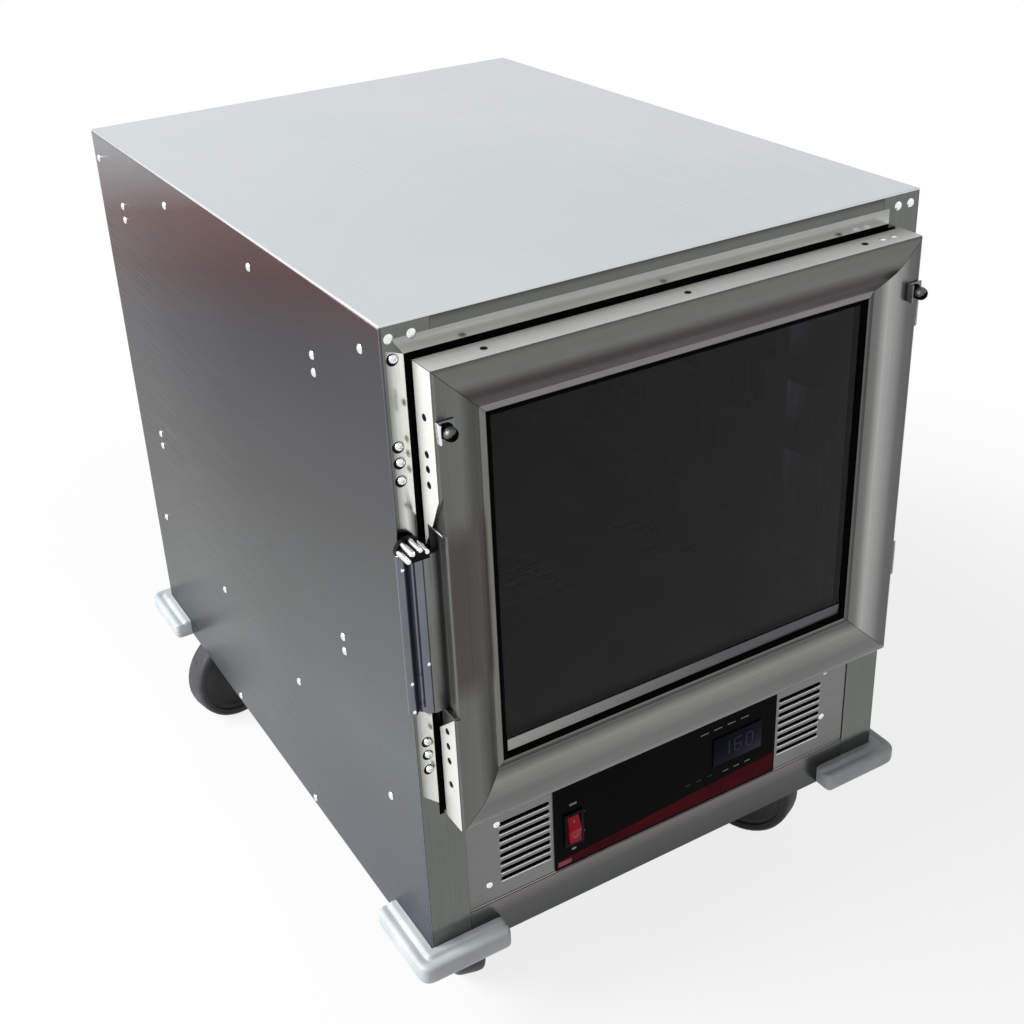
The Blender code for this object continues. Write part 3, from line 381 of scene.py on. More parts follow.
@dataclass(frozen=True)
class Lit(Finish):
    """Clear coloured plastic with a lamp behind it, which glows evenly."""

    glow: str = "#FF3040"
    power: float = 0.6
    patch_mm: float = 9.0
    ior: float = 1.2

    def dress(self, nodes: Nodes) -> None:
        """Slow patches vary the colour, and the lamp adds its glow."""
        cloud = nodes.noise(self.patch_mm, detail=1.0)
        nodes.shade({
            "Base Color": self.colour(nodes, cloud),
            "Roughness": self.gloss(nodes, cloud, swing=0.03),
            "IOR": self.ior,
            "Emission Color": linear(self.glow),
            "Emission Strength": self.power,
        })


@dataclass(frozen=True)
class Wool(Finish):
    """Mineral wool: a soft mat of short fibres."""

    fibre_mm: float = 4.0
    relief_mm: float = 1.5
    layers: Place = (0.2, 0.2, 1.0)

    def dress(self, nodes: Nodes) -> None:
        """Stretched noise stands for layers of fibre, in the colour and in the relief."""
        fibre = nodes.noise(self.fibre_mm, detail=6.0, grain=self.layers)
        nodes.shade({
            "Base Color": self.colour(nodes, fibre),
            "Roughness": self.gloss(nodes, fibre, swing=0.04),
            "Normal": nodes.bump(fibre, self.relief_mm),
        })


# What several of the graded finishes below share
GRADED = partial(Graded, tone="#FFFFFF")
SIDE = partial(
    GRADED, shade="#F3F3F3", roughness=0.30, grain=Grain.DEEP, grain_mm=1.6, blotch_mm=260.0,
    relief_mm=0.004, edge="#CCCACB",
)
RAIL = partial(
    GRADED, shade="#F0F0F0", grain=Grain.ACROSS, blotch_mm=160.0, relief_mm=0.005, along=(0.0, 0.0, 1.0)
)
STRIP = partial(GRADED, roughness=0.16, blotch_mm=90.0, relief_mm=0.004)
EXTRUSION = partial(GRADED, shade="#F2F2F2", roughness=0.30, grain_mm=1.0, blotch_mm=150.0, relief_mm=0.005)

# Satin rolled sheet of the top: pale, with faint lines along its depth and a soft sheen
TOP_SHEET = Metal("satin_aluminium_top", "#CACED1", "#C4C9CC", 0.42, Grain.DEEP, 1.6, 220.0, 0.004)
# The same sheet on the left with a painted reflection: light at the upper back, a warm wedge under the top,
# mid grey below
LEFT_SHEET_REFLECTED = SIDE(
    "satin_aluminium_left", along=(0.0, -0.25, -1.0),
    stops=((-0.86, "#B6B8BC"), (-0.78, "#765E5C"), (-0.72, "#624F4F"), (-0.66, "#5C5D61"),
           (-0.50, "#6D6E6F"), (-0.28, "#848A8A"), (-0.10, "#7A8086")),
)
# And on the right, an even mid grey with a painted reflection that makes it a little lighter low down
RIGHT_SHEET_REFLECTED = SIDE(
    "satin_aluminium_right", along=(0.0, 0.0, -1.0),
    stops=((-0.78, "#77797B"), (-0.50, "#747678"), (-0.28, "#848A8A"), (-0.10, "#7A8086")),
)
# Sheet of the back, the base and the control module, plain mid grey
MODULE_SHEET = Metal("satin_aluminium_module", "#7C7C7C", "#757575", 0.34, Grain.ACROSS, 1.4, 200.0, 0.005)
# Bright rolled strip of the face frame
FRAME_STRIP = Metal("bright_aluminium_frame", "#6F726E", "#676966", 0.18, Grain.UPRIGHT, 1.2, 180.0, 0.005)
# The head of the face frame, with painted shadow darkening it close under the top
RAIL_SHADOWED = RAIL(
    "bright_aluminium_rail", roughness=0.20,
    stops=((0.750, "#6C6F6B"), (0.7755, "#686A67"), (0.7805, "#4A4C4A")),
)
# The foot of the face frame, with painted shade darkening it downwards
FOOT_SHADED = RAIL(
    "bright_aluminium_foot", roughness=0.22,
    stops=((0.132, "#4C4F4D"), (0.156, "#585858"), (0.170, "#74706F")),
)
# Painted reflection on a thin strip beside the door: the lightest metal of the front, brightest next to the
# door
LANDING_REFLECTION = STRIP(
    "polished_aluminium_landing", shade="#EDEDED", grain=Grain.UPRIGHT, along=(1.0, 0.0, 0.0),
    stops=((-0.271, "#8A8C86"), (-0.266, "#C8C8C4"), (-0.2575, "#F0F0EE")),
)
# Painted reflection on a thin strip above the door, lighter than the rail that it lies on, most of all next
# to the door
LINTEL_REFLECTION = STRIP(
    "polished_aluminium_lintel", shade="#F0F0F0", grain=Grain.ACROSS, along=(0.0, 0.0, 1.0),
    stops=((0.7556, "#D2D3CF"), (0.7600, "#B6B7B3"), (0.7680, "#A2A39F")),
)
# Anodised extrusion of the door: greenish grey with drawn lines along each member, and painted shading
# across each member's section. The curve down to the glass has painted shade on the upper and left members
# and painted light on the lower and right ones, and is browner beside the latch
DOOR_PAINTED_SHADING = {
    Edge.TOP: EXTRUSION(
        "anodised_aluminium_top", grain=Grain.ACROSS,
        stops=((0.0, "#4E4E4C"), (0.004, "#6E6E69"), (0.018, "#70706C"), (0.028, "#474341"),
               (0.033, "#403D3D"), (0.045, "#807D7E")),
    ),
    Edge.LEFT: EXTRUSION(
        "anodised_aluminium_left", grain=Grain.UPRIGHT,
        stops=((0.0, "#676763"), (0.021, "#6C6C68"), (0.032, "#4D4D4A"), (0.038, "#52524E"),
               (0.046, "#777773")),
        patch=Patch("#524E4B", low=0.435, high=0.625, fade=0.035, start=0.006, end=0.045),
    ),
    Edge.BOTTOM: EXTRUSION(
        "anodised_aluminium_bottom", grain=Grain.ACROSS,
        stops=((0.0, "#8C8C8A"), (0.008, "#747474"), (0.020, "#727270"), (0.036, "#86877F"),
               (0.043, "#585856"), (0.048, "#6A6A68")),
    ),
    Edge.RIGHT: EXTRUSION(
        "anodised_aluminium_right", grain=Grain.UPRIGHT,
        stops=((0.0, "#515151"), (0.014, "#686868"), (0.024, "#919191"), (0.034, "#AAAAA9"),
               (0.040, "#777776"), (0.050, "#606060")),
    ),
}
# The extrusion's outer edges, with painted reflection: almost white at the sides, duller above and below
DOOR_EDGE_REFLECTED = Metal("buffed_aluminium_edge", "#CCCCC8", "#C0C0BC", 0.40, Grain.NONE, 1.0, 60.0, 0.004, 0.25)
DOOR_HEAD_REFLECTED = Metal("brushed_aluminium_edge", "#C4C4C0", "#B6B6B2", 0.40, Grain.ACROSS, 1.2, 60.0, 0.006, 0.3)
# Dull milled recess for the latch in the door's edge
RECESS = Metal("milled_aluminium_recess", "#7A7B79", "#6C6D6B", 0.40, Grain.UPRIGHT, 1.0, 60.0, 0.01)
# Light strip along the foot of the glass, with painted light that fades darker towards the right
SILL_PAINTED_LIGHT = GRADED(
    "polished_aluminium_sill", shade="#F0F0F0", roughness=0.26, grain=Grain.ACROSS, blotch_mm=60.0,
    relief_mm=0.004, along=(1.0, 0.0, 0.0),
    stops=((-0.20, "#949490"), (-0.06, "#737373"), (0.06, "#5A595C"), (0.2, "#505054")),
)
# Bright folded edge along the foot of the control module, a painted highlight
TRIM_HIGHLIGHT = Metal("bright_aluminium_trim", "#9A9896", "#8C8A88", 0.30, Grain.ACROSS, 1.0, 60.0, 0.004)
# Bright rivet and screw heads, whose metal also gives painted highlight to the top's rims, the vents' lips
# and the left stop's bracket; and the blackened steel of dark screws and pins, which also gives painted
# shade to the washers under the post screws and to the core and flange of the latch's head
BRIGHT_HEAD_AND_HIGHLIGHT = Metal("polished_aluminium_rivets", "#F6F7F7", "#E4E6E7", 0.20, Grain.NONE, 0.8, 20.0)
BLACKENED_AND_SHADE = Metal("blackened_steel_recess", "#1C1C1E", "#101012", 0.45, Grain.NONE, 0.8, 20.0)
# Chrome plate on the latch, with blue-black painted shade in the channel along its middle
CHROME = Metal("chrome_plate", "#74777E", "#696C73", 0.14, Grain.UPRIGHT, 0.8, 60.0, 0.004)
CHANNEL_SHADE = Metal("dark_chrome_channel", "#3A3E48", "#31343D", 0.24, Grain.UPRIGHT, 0.8, 60.0, 0.004)
# Dull grey die casting of the latch's cup and of the stops' caps
CASTING = Metal("grey_die_casting", "#5C5E5E", "#4A4C4B", 0.45, Grain.NONE, 1.4, 30.0, 0.03)
# Mill finish inside the chamber: dull, with marks from the rolls
MILL = Metal("mill_finish_aluminium", "#A8AAAB", "#929596", 0.42, Grain.UPRIGHT, 1.4, 120.0)
# Zinc plate on the casters, with a faint blue cast, and dark oxidised steel
ZINC = Metal("zinc_plated_steel", "#A4A7AB", "#84878C", 0.36, Grain.NONE, 1.2, 35.0, 0.02)
DARK_STEEL = Metal("oxidised_steel", "#4A4A4D", "#343437", 0.45, Grain.NONE, 1.2, 25.0, 0.02)
# Grey moulded rubber of the bumpers, a little chalky
BUMPER_RUBBER = Moulding("grey_moulded_rubber", "#B3B8BA", "#A1A6A9", 0.48, 1.4, 0.05, 45.0)
# Dead black rubber of the glazing bead, which also gives painted shade on the shaded side of the stops and
# painted shadow in the gap round the door, and the softer black of the gasket
BLACK_RUBBER_AND_SHADE = Moulding("black_stop_rubber", "#0A0A0B", "#060607", 0.60, 1.4, 0.06, 30.0, 1.05)
BLACK_RUBBER = Moulding("black_rubber", "#111112", "#0A0A0B", 0.62, 1.4, 0.06, 30.0, 1.25)
# Worn grey tread on a caster's tyre, and its almost black hub
TYRE_RUBBER = Moulding("caster_tyre_rubber", "#46464B", "#323236", 0.55, 1.8, 0.08, 30.0, 1.3)
HUB_PLASTIC = Moulding("dark_nylon_hub", "#161618", "#0E0E10", 0.42, 1.4, 0.04, 30.0, 1.35)
# Black control panel: a screen-printed matt film that mirrors almost nothing, and black moulded plastic
PANEL_FILM = Moulding("black_polyester_film", "#0D0D10", "#09090B", 0.36, 0.9, 0.02, 40.0, 1.07)
BLACK_PLASTIC = Moulding("black_abs_plastic", "#131315", "#0C0C0E", 0.38, 1.0, 0.03, 20.0, 1.12)
# Printed inks on the film
RED_INK = Moulding("dark_red_ink", "#5A141B", "#3A0C12", 0.36, 0.9, 0.02, 50.0, 1.07)
PINK_INK = Moulding("pale_red_ink", "#A85A64", "#8C444E", 0.36, 0.9, 0.02, 12.0, 1.1)
WHITE_INK = Moulding("white_ink", "#9DA0A6", "#868990", 0.40, 0.9, 0.02, 12.0, 1.1)
TEAL_INK = Moulding("teal_ink", "#2A5F5A", "#204C48", 0.40, 0.9, 0.02, 12.0, 1.1)
# Tinted lens over the display, with dim blue figures
LENS = Moulding("tinted_acrylic_lens", "#0F1020", "#0B0C18", 0.14, 2.0, 0.004, 20.0, 1.1)
FIGURES = Lit("blue_lit_figures", "#2A2D58", "#22254A", 0.30, "#7F8CE8", 0.006)
# Red rocker with its lamp on
ROCKER_RED = Lit("red_lit_polycarbonate", "#A01329", "#780C1E", 0.30, "#F01830", 0.07)
# Dark glass of the door, with a faint violet cast
WINDOW_GLASS = Glass("dark_tempered_glass", "#B6B2BC", "#ACA8B2", 0.03)
# Straw-coloured wool of the insulation
MINERAL_WOOL = Wool("mineral_wool", "#C9B98A", "#A8966A", 0.92)
# Pale matt paper under the cabinet
FLOOR_PAPER = Moulding("pale_studio_floor", "#D8D8D7", "#D4D4D3", 0.8, 3.0, 0.0, 900.0)


# Shapes


def arc(centre: Spot, radius: float, start: float, end: float, steps: int) -> list[Spot]:
    """Points on an arc, both ends among them.

    Args:
        centre: Its middle.
        radius: Its radius.
        start: The first angle in degrees.
        end: The last angle in degrees.
        steps: How many steps it is drawn in.

    Returns:
        The points.
    """
    angles = [math.radians(start + (end - start) * i / steps) for i in range(steps + 1)]
    return [(centre[0] + radius * math.cos(a), centre[1] + radius * math.sin(a)) for a in angles]


def stand(foot: Place, axis: Place) -> Matrix:
    """The place of a shape that is built up from the origin, with its foot and its upward axis given."""
    return Matrix.Translation(foot) @ UP.rotation_difference(Vector(axis)).to_matrix().to_4x4()


def round_off(shape: BMesh, edges: Iterable[BMEdge], radius: float, steps: int) -> None:
    """Rounds edges of a shape with this many faces."""
    bmesh.ops.bevel(
        shape, geom=list(edges), offset=radius, affect="EDGES", segments=steps, profile=0.5,
        clamp_overlap=True, material=-1,
    )


def pour(shape: BMesh, into: BMesh) -> None:
    """Adds a shape, which is used up, to another."""
    mesh = bpy.data.meshes.new("poured")
    shape.to_mesh(mesh)
    shape.free()
    into.from_mesh(mesh)
    bpy.data.meshes.remove(mesh)


def block(low: Place, high: Place, radius: float = 0.0, steps: int = 2) -> BMesh:
    """A box between two corners.

    Args:
        low: The lowest corner.
        high: The highest corner.
        radius: The radius of its edges, or 0 for sharp ones.
        steps: How many faces go round an edge.

    Returns:
        The shape.
    """
    shape = bmesh.new()
    size = [b - a for a, b in zip(low, high)]
    middle = [(a + b) / 2 for a, b in zip(low, high)]
    place = Matrix.Translation(middle) @ Matrix.Diagonal((*size, 1.0))
    bmesh.ops.create_cube(shape, size=1.0, matrix=place)
    if radius > 0:
        round_off(shape, shape.edges, radius, steps)
    return shape


def prism(outline: Iterable[Place], along: Place) -> BMesh:
    """A flat outline drawn out along a vector."""
    shape = bmesh.new()
    face = shape.faces.new([shape.verts.new(point) for point in outline])
    drawn = bmesh.ops.extrude_face_region(shape, geom=[face])["geom"]
    bmesh.ops.translate(shape, verts=[v for v in drawn if isinstance(v, BMVert)], vec=along)
    bmesh.ops.recalc_face_normals(shape, faces=shape.faces)
    return shape


def turned(profile: list[Spot], steps: int) -> BMesh:
    """A shape turned about the Z axis.

    Args:
        profile: Points of its half section as (radius, height), from end to end or back to the first.
        steps: How many faces go round it.

    Returns:
        The shape, with its seam and its poles closed.
    """
    shape = bmesh.new()
    points = [shape.verts.new((radius, 0.0, height)) for radius, height in profile]
    lines = [shape.edges.new(pair) for pair in zip(points, points[1:])]
    bmesh.ops.spin(
        shape, geom=points + lines, cent=(0, 0, 0), axis=UP, angle=2 * math.pi, steps=steps, use_merge=True
    )
    bmesh.ops.remove_doubles(shape, verts=shape.verts, dist=SAME)
    bmesh.ops.recalc_face_normals(shape, faces=shape.faces)
    return shape


def member(profile: list[Spot], edge: Edge, low: Spot, high: Spot, joint: float = 0.0) -> BMesh:
    """One side of a mitred frame.

    Args:
        profile: Its section as (distance in from the frame's outer edge, y).
        edge: Which side it is.
        low: The frame's lower left corner as (x, z).
        high: The frame's upper right corner as (x, z).
        joint: Half the gap at the mitres.

    Returns:
        The shape.
    """
    inward = Vector(edge.value)
    along = Vector((abs(inward.z), 0.0, abs(inward.x)))
    near = Vector((high[0] if edge is Edge.RIGHT else low[0], 0.0, high[1] if edge is Edge.TOP else low[1]))
    length = high[0] - low[0] if along.x else high[1] - low[1]
    shape = prism([near + inward * u + Vector((0.0, y, 0.0)) for u, y in profile], along * length)
    for corner, heading in ((near, along), (near + along * length, -along)):
        cut = bmesh.ops.bisect_plane(
            shape,
            geom=[*shape.verts, *shape.edges, *shape.faces],
            plane_co=corner + heading * joint,
            plane_no=heading - inward,
            clear_inner=True,
        )["geom_cut"]
        bmesh.ops.edgenet_fill(shape, edges=[item for item in cut if isinstance(item, BMEdge)])
    bmesh.ops.recalc_face_normals(shape, faces=shape.faces)
    return shape


def carve(shape: BMesh, cutter: BMesh) -> BMesh:
    """What is left of a shape when a cutter is taken out. Both are used up."""
    bodies = []
    for part in (shape, cutter):
        bmesh.ops.recalc_face_normals(part, faces=part.faces)
        mesh = bpy.data.meshes.new("carving")
        part.to_mesh(mesh)
        part.free()
        bodies.append(bpy.data.objects.new("carving", mesh))
        bpy.context.scene.collection.objects.link(bodies[-1])
    change = bodies[0].modifiers.new("Carve", "BOOLEAN")
    change.operation, change.solver, change.object = "DIFFERENCE", "EXACT", bodies[1]
    bpy.context.view_layer.update()
    made = bmesh.new()
    made.from_mesh(bodies[0].evaluated_get(bpy.context.evaluated_depsgraph_get()).to_mesh())
    for mesh in [body.data for body in bodies]:
        bpy.data.meshes.remove(mesh)
    return made


class Head(Enum):
    """Heads of fasteners: the half section as shares of radius and height, and how many faces go round."""

    RIVET = (((0.0, 1.0), (0.45, 0.9), (0.8, 0.58), (1.0, 0.0), (0.0, 0.0)), 12)
    HEX = (((0.0, 1.0), (0.8, 1.0), (1.0, 0.8), (1.0, 0.0), (0.0, 0.0)), 6)
    # pan heads with a drive hole
    SCREW = (((0.0, 0.3), (0.28, 0.3), (0.36, 0.95), (0.7, 0.85), (0.95, 0.4), (1.0, 0.0), (0.0, 0.0)), 14)
    SMALL_SCREW = (SCREW[0], 12)

    def shape(self, radius: float, height: float) -> BMesh:
        """The head, which stands on the origin."""
        section, steps = self.value
        return turned([(radius * r, height * h) for r, h in section], steps)


@dataclass
class Piece:
    """A piece of the cabinet that is put together from shapes, each with a finish."""

    name: str
    # the body that it rides on, and the record's material slot, which is kept but not used here
    body: str
    slot: str

    def __post_init__(self) -> None:
        """Starts with no shape and no finish."""
        self.mesh = bmesh.new()
        self.looks: list[Finish] = []

    def number(self, look: Finish) -> int:
        """The material index of a finish, which is added on its first use."""
        if look not in self.looks:
            self.looks.append(look)
        return self.looks.index(look)

    def put(self, shape: BMesh, look: Finish, place: Matrix | None = None) -> "Piece":
        """Adds a shape.

        Args:
            shape: The shape, which is used up.
            look: Its finish.
            place: Where it goes, if it isn't built in place.

        Returns:
            The piece.
        """
        if place is not None:
            bmesh.ops.transform(shape, matrix=place, verts=shape.verts)
        bmesh.ops.recalc_face_normals(shape, faces=shape.faces)
        index = self.number(look)
        for face in shape.faces:
            face.material_index = index
        pour(shape, self.mesh)
        return self

    def fix(self, head: Head, size: Spot, look: Finish, facing: Facing, feet: Iterable[Place]) -> "Piece":
        """Adds fasteners.

        Args:
            head: Their kind.
            size: Their radius and height.
            look: Their finish.
            facing: The way that they face.
            feet: Where they stand.

        Returns:
            The piece.
        """
        for foot in feet:
            self.put(head.shape(*size), look, stand(foot, facing.value))
        return self

    def surround(self, section: list[Spot], low: Spot, high: Spot, look: Finish) -> "Piece":
        """Adds all four sides of a mitred frame, as member() makes them."""
        for edge in Edge:
            self.put(member(section, edge, low, high), look)
        return self

    def mark(self, look: Finish, test: Callable[[BMFace], bool]) -> "Piece":
        """Gives another finish to the faces that pass a test."""
        self.mesh.normal_update()
        index = self.number(look)
        for face in filter(test, self.mesh.faces):
            face.material_index = index
        return self

    def grade(self, measure: Callable[[Vector], float]) -> "Piece":
        """Keeps for each point how far in it lies, by a measure, for finishes that follow the section."""
        layer = self.mesh.verts.layers.float.new(INSET)
        for vert in self.mesh.verts:
            vert[layer] = measure(vert.co)
        return self

    def make(self, *nodes: str) -> None:
        """Finishes the piece, which stands for these nodes of the model."""
        mesh = bpy.data.meshes.new(self.name)
        self.mesh.to_mesh(mesh)
        self.mesh.free()
        mesh.shade_smooth()
        mesh.set_sharp_from_angle(angle=SHARP)
        for look in self.looks:
            mesh.materials.append(look.material())
        made = bpy.data.objects.new(self.name, mesh)
        bpy.context.scene.collection.objects.link(made)
        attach(made, self.body)
        if nodes:
            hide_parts(*nodes)
        LOG.info("%s: %d faces on %s", self.name, len(mesh.polygons), self.body)


@dataclass
class SubAssembly:
    """What every sub-assembly shares: the model that it dresses."""

    frame: dict

    def dress(self, look: Finish, *names: str) -> None:
        """Gives nodes of the model a finish."""
        for name in names:
            node = self.frame["nodes"][name]
            for slot in node.material_slots:
                slot.link = "DATA"
            node.data.materials.clear()
            node.data.materials.append(look.material())
            LOG.info("%s: %s", name, look.name)

    def joint(self, name: str) -> tuple[Vector, Vector]:
        """The place and the axis of a joint."""
        joints = self.frame["record"]["behaviour"]["joints"]
        found = next(joint for joint in joints if joint["name"] == name)
        return Vector(found["pos_m"]), Vector(found["axis"])


@dataclass
class CabinetBody(SubAssembly):
    """The outer skins with their rivets, and the face frame with its screws, strips of painted reflection
    round the door and a black strip of painted shadow in the gap.
    """

    rim: float = 0.0013
    top_rim: float = 0.0020
    # (radius, height) of the heads
    rivet: Spot = (0.0043, 0.0018)
    screw: Spot = (0.0040, 0.0026)
    # the dark washer under each post screw, which is painted shadow, and how the screw sits askew in it so
    # that the shadow shows at one side
    washer: Spots = ((0.0, 0.0), (0.0052, 0.0), (0.0052, 0.0005), (0.0, 0.0006))
    askew: Place = (0.0006, 0.0008, 0.0004)
    # the black strip of painted shadow in the gap round the door, and the thin strips of painted reflection
    # beyond it
    shadow_strip: float = 0.0048
    shadow_strip_gap: float = 0.0006
    shadow_strip_end: float = 0.012
    reflection_side: float = 0.0205
    reflection_top: float = 0.0195
    reflection_foot: float = 0.014
    reflection_thickness: float = 0.00025
    reflection_lift: float = 1e-5
    # (distance back from the front, height above the lower edge) of the rivets on each side
    side_rivets: Spots = (
        *((y, 0.6215) for y in (0.037, 0.267, 0.496, 0.723)),
        *((y, z) for y in (0.1375, 0.655) for z in (0.581, 0.565, 0.296, 0.280)),
        *((y, 0.161) for y in (0.062, 0.275, 0.489, 0.695)),
        *((y, 0.0085) for y in (0.27, 0.49)),
    )
    # (distance in from the left side, height above the lower edge)
    rail_rivets: Spots = ((0.0078, 0.640), (0.0273, 0.640), (0.524, 0.640), (0.539, 0.640))
    back_rivets: Spots = tuple(
        (x, z) for z in (0.6215, 0.391, 0.161, 0.0085) for x in (0.03, 0.193, 0.357, 0.52)
    )
    post_screws: Spots = (
        *((0.0085, z) for z in (0.549, 0.535, 0.519)),
        *((0.0120, z) for z in (0.260, 0.246, 0.230)),
        (0.0095, 0.6228),
    )

    def build(self) -> None:
        """Builds the skins, the fasteners, and the strips of painted reflection and shadow round the door,
        and dresses what stays of the model.
        """
        self.low, self.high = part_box("left_outer_panel")[0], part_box("top_outer_panel")[1]
        self.build_skins()
        self.build_fasteners()
        self.build_painted_reflection_and_shadow()
        self.dress(MODULE_SHEET, "back_outer_panel", "base_pan")
        self.dress(FRAME_STRIP, "left_front_post", "right_front_post", "middle_front_rail")
        self.dress(RAIL_SHADOWED, "top_front_rail")
        self.dress(FOOT_SHADED, "bottom_front_rail")
        self.dress(MINERAL_WOOL, "insulation_jacket")

    def build_skins(self) -> None:
        """The top and side sheets, rounded along their outer edges."""
        for side, look, facing, rim in (
            ("top", TOP_SHEET, Facing.TOP, self.top_rim),
            ("left", LEFT_SHEET_REFLECTED, Facing.LEFT, self.rim),
            ("right", RIGHT_SHEET_REFLECTED, Facing.RIGHT, self.rim),
        ):
            shape = block(*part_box(f"{side}_outer_panel"))
            outward = Vector(facing.value)
            rims = [e for e in shape.edges if any(f.normal.dot(outward) > ALIGNED for f in e.link_faces)]
            round_off(shape, rims, rim, steps=3)
            piece = Piece(f"{side}_skin", "cabinet", "satin_aluminium").put(shape, look)
            if facing is Facing.TOP:
                # painted highlight: the rounded rims along both sides take the bright rivet metal
                piece.mark(BRIGHT_HEAD_AND_HIGHLIGHT, lambda f: 0.1 < f.normal.z < 0.99 and abs(f.normal.x) > 0.1)
            piece.make(f"{side}_outer_panel")

    def build_fasteners(self) -> None:
        """The rivets of the skins and the face frame, and the screws of the posts."""
        low, high = self.low, self.high
        rivets = partial(Piece.fix, head=Head.RIVET, size=self.rivet, look=BRIGHT_HEAD_AND_HIGHLIGHT)
        sides = Piece("side_rivets", "cabinet", "polished_aluminium")
        for x, facing in ((low.x, Facing.LEFT), (high.x, Facing.RIGHT)):
            rivets(sides, facing=facing, feet=[(x, low.y + y, low.z + z) for y, z in self.side_rivets])
        sides.make()
        for name, y, facing, spots in (
            ("front_rail_rivets", low.y, Facing.FRONT, self.rail_rivets),
            ("back_rivets", high.y, Facing.BACK, self.back_rivets),
        ):
            row = Piece(name, "cabinet", "polished_aluminium")
            rivets(row, facing=facing, feet=[(low.x + x, y, low.z + z) for x, z in spots]).make()
        posts = Piece("post_screws", "cabinet", "polished_aluminium")
        for x, z in self.post_screws:
            place = stand((low.x + x, low.y, low.z + z), Facing.FRONT.value)
            # a dark ring, set to one side of each screw, is painted shadow
            posts.put(turned(self.washer, steps=16), BLACKENED_AND_SHADE, place)
            posts.put(Head.SCREW.shape(*self.screw), BRIGHT_HEAD_AND_HIGHLIGHT, place @ Matrix.Translation(self.askew))
        posts.make()

    def build_painted_reflection_and_shadow(self) -> None:
        """Thin strips of painted reflection beside and above the door, and black strips of painted shadow
        between them and the door.
        """
        left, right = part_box("door_left_member")[0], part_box("door_right_member")[1]
        front, back = self.low.y - self.reflection_thickness, self.low.y - self.reflection_lift
        inner = self.shadow_strip_gap + self.shadow_strip
        edge_x, edge_z = left.x - inner, right.z + inner
        far_x, far_z = left.x - self.reflection_side, right.z + self.reflection_top
        foot, end = left.z + self.reflection_foot, right.x - self.shadow_strip_end
        side = [(edge_x, foot), (edge_x, edge_z), (far_x, edge_z + inner), (far_x, foot + self.reflection_foot)]
        head = [(edge_x, edge_z), (far_x + inner, far_z), (end, far_z), (end, edge_z)]
        reflection_strips = Piece("gasket_landing", "cabinet", "polished_aluminium")
        for outline, look in ((side, LANDING_REFLECTION), (head, LINTEL_REFLECTION)):
            reflection_strips.put(prism([(x, back, z) for x, z in outline], (0, front - back, 0)), look)
        reflection_strips.make()
        near_x, near_z = left.x - self.shadow_strip_gap, right.z + self.shadow_strip_gap
        # black strips of painted shadow along the gap at the door's left and top
        shadow_strip = Piece("gasket_seat", "cabinet", "black_rubber")
        for corner, far in (((edge_x, front, left.z), near_x), ((near_x, front, near_z), end)):
            shadow_strip.put(block(corner, (far, back, edge_z), radius=0.0001, steps=1), BLACK_RUBBER_AND_SHADE)
        shadow_strip.make()


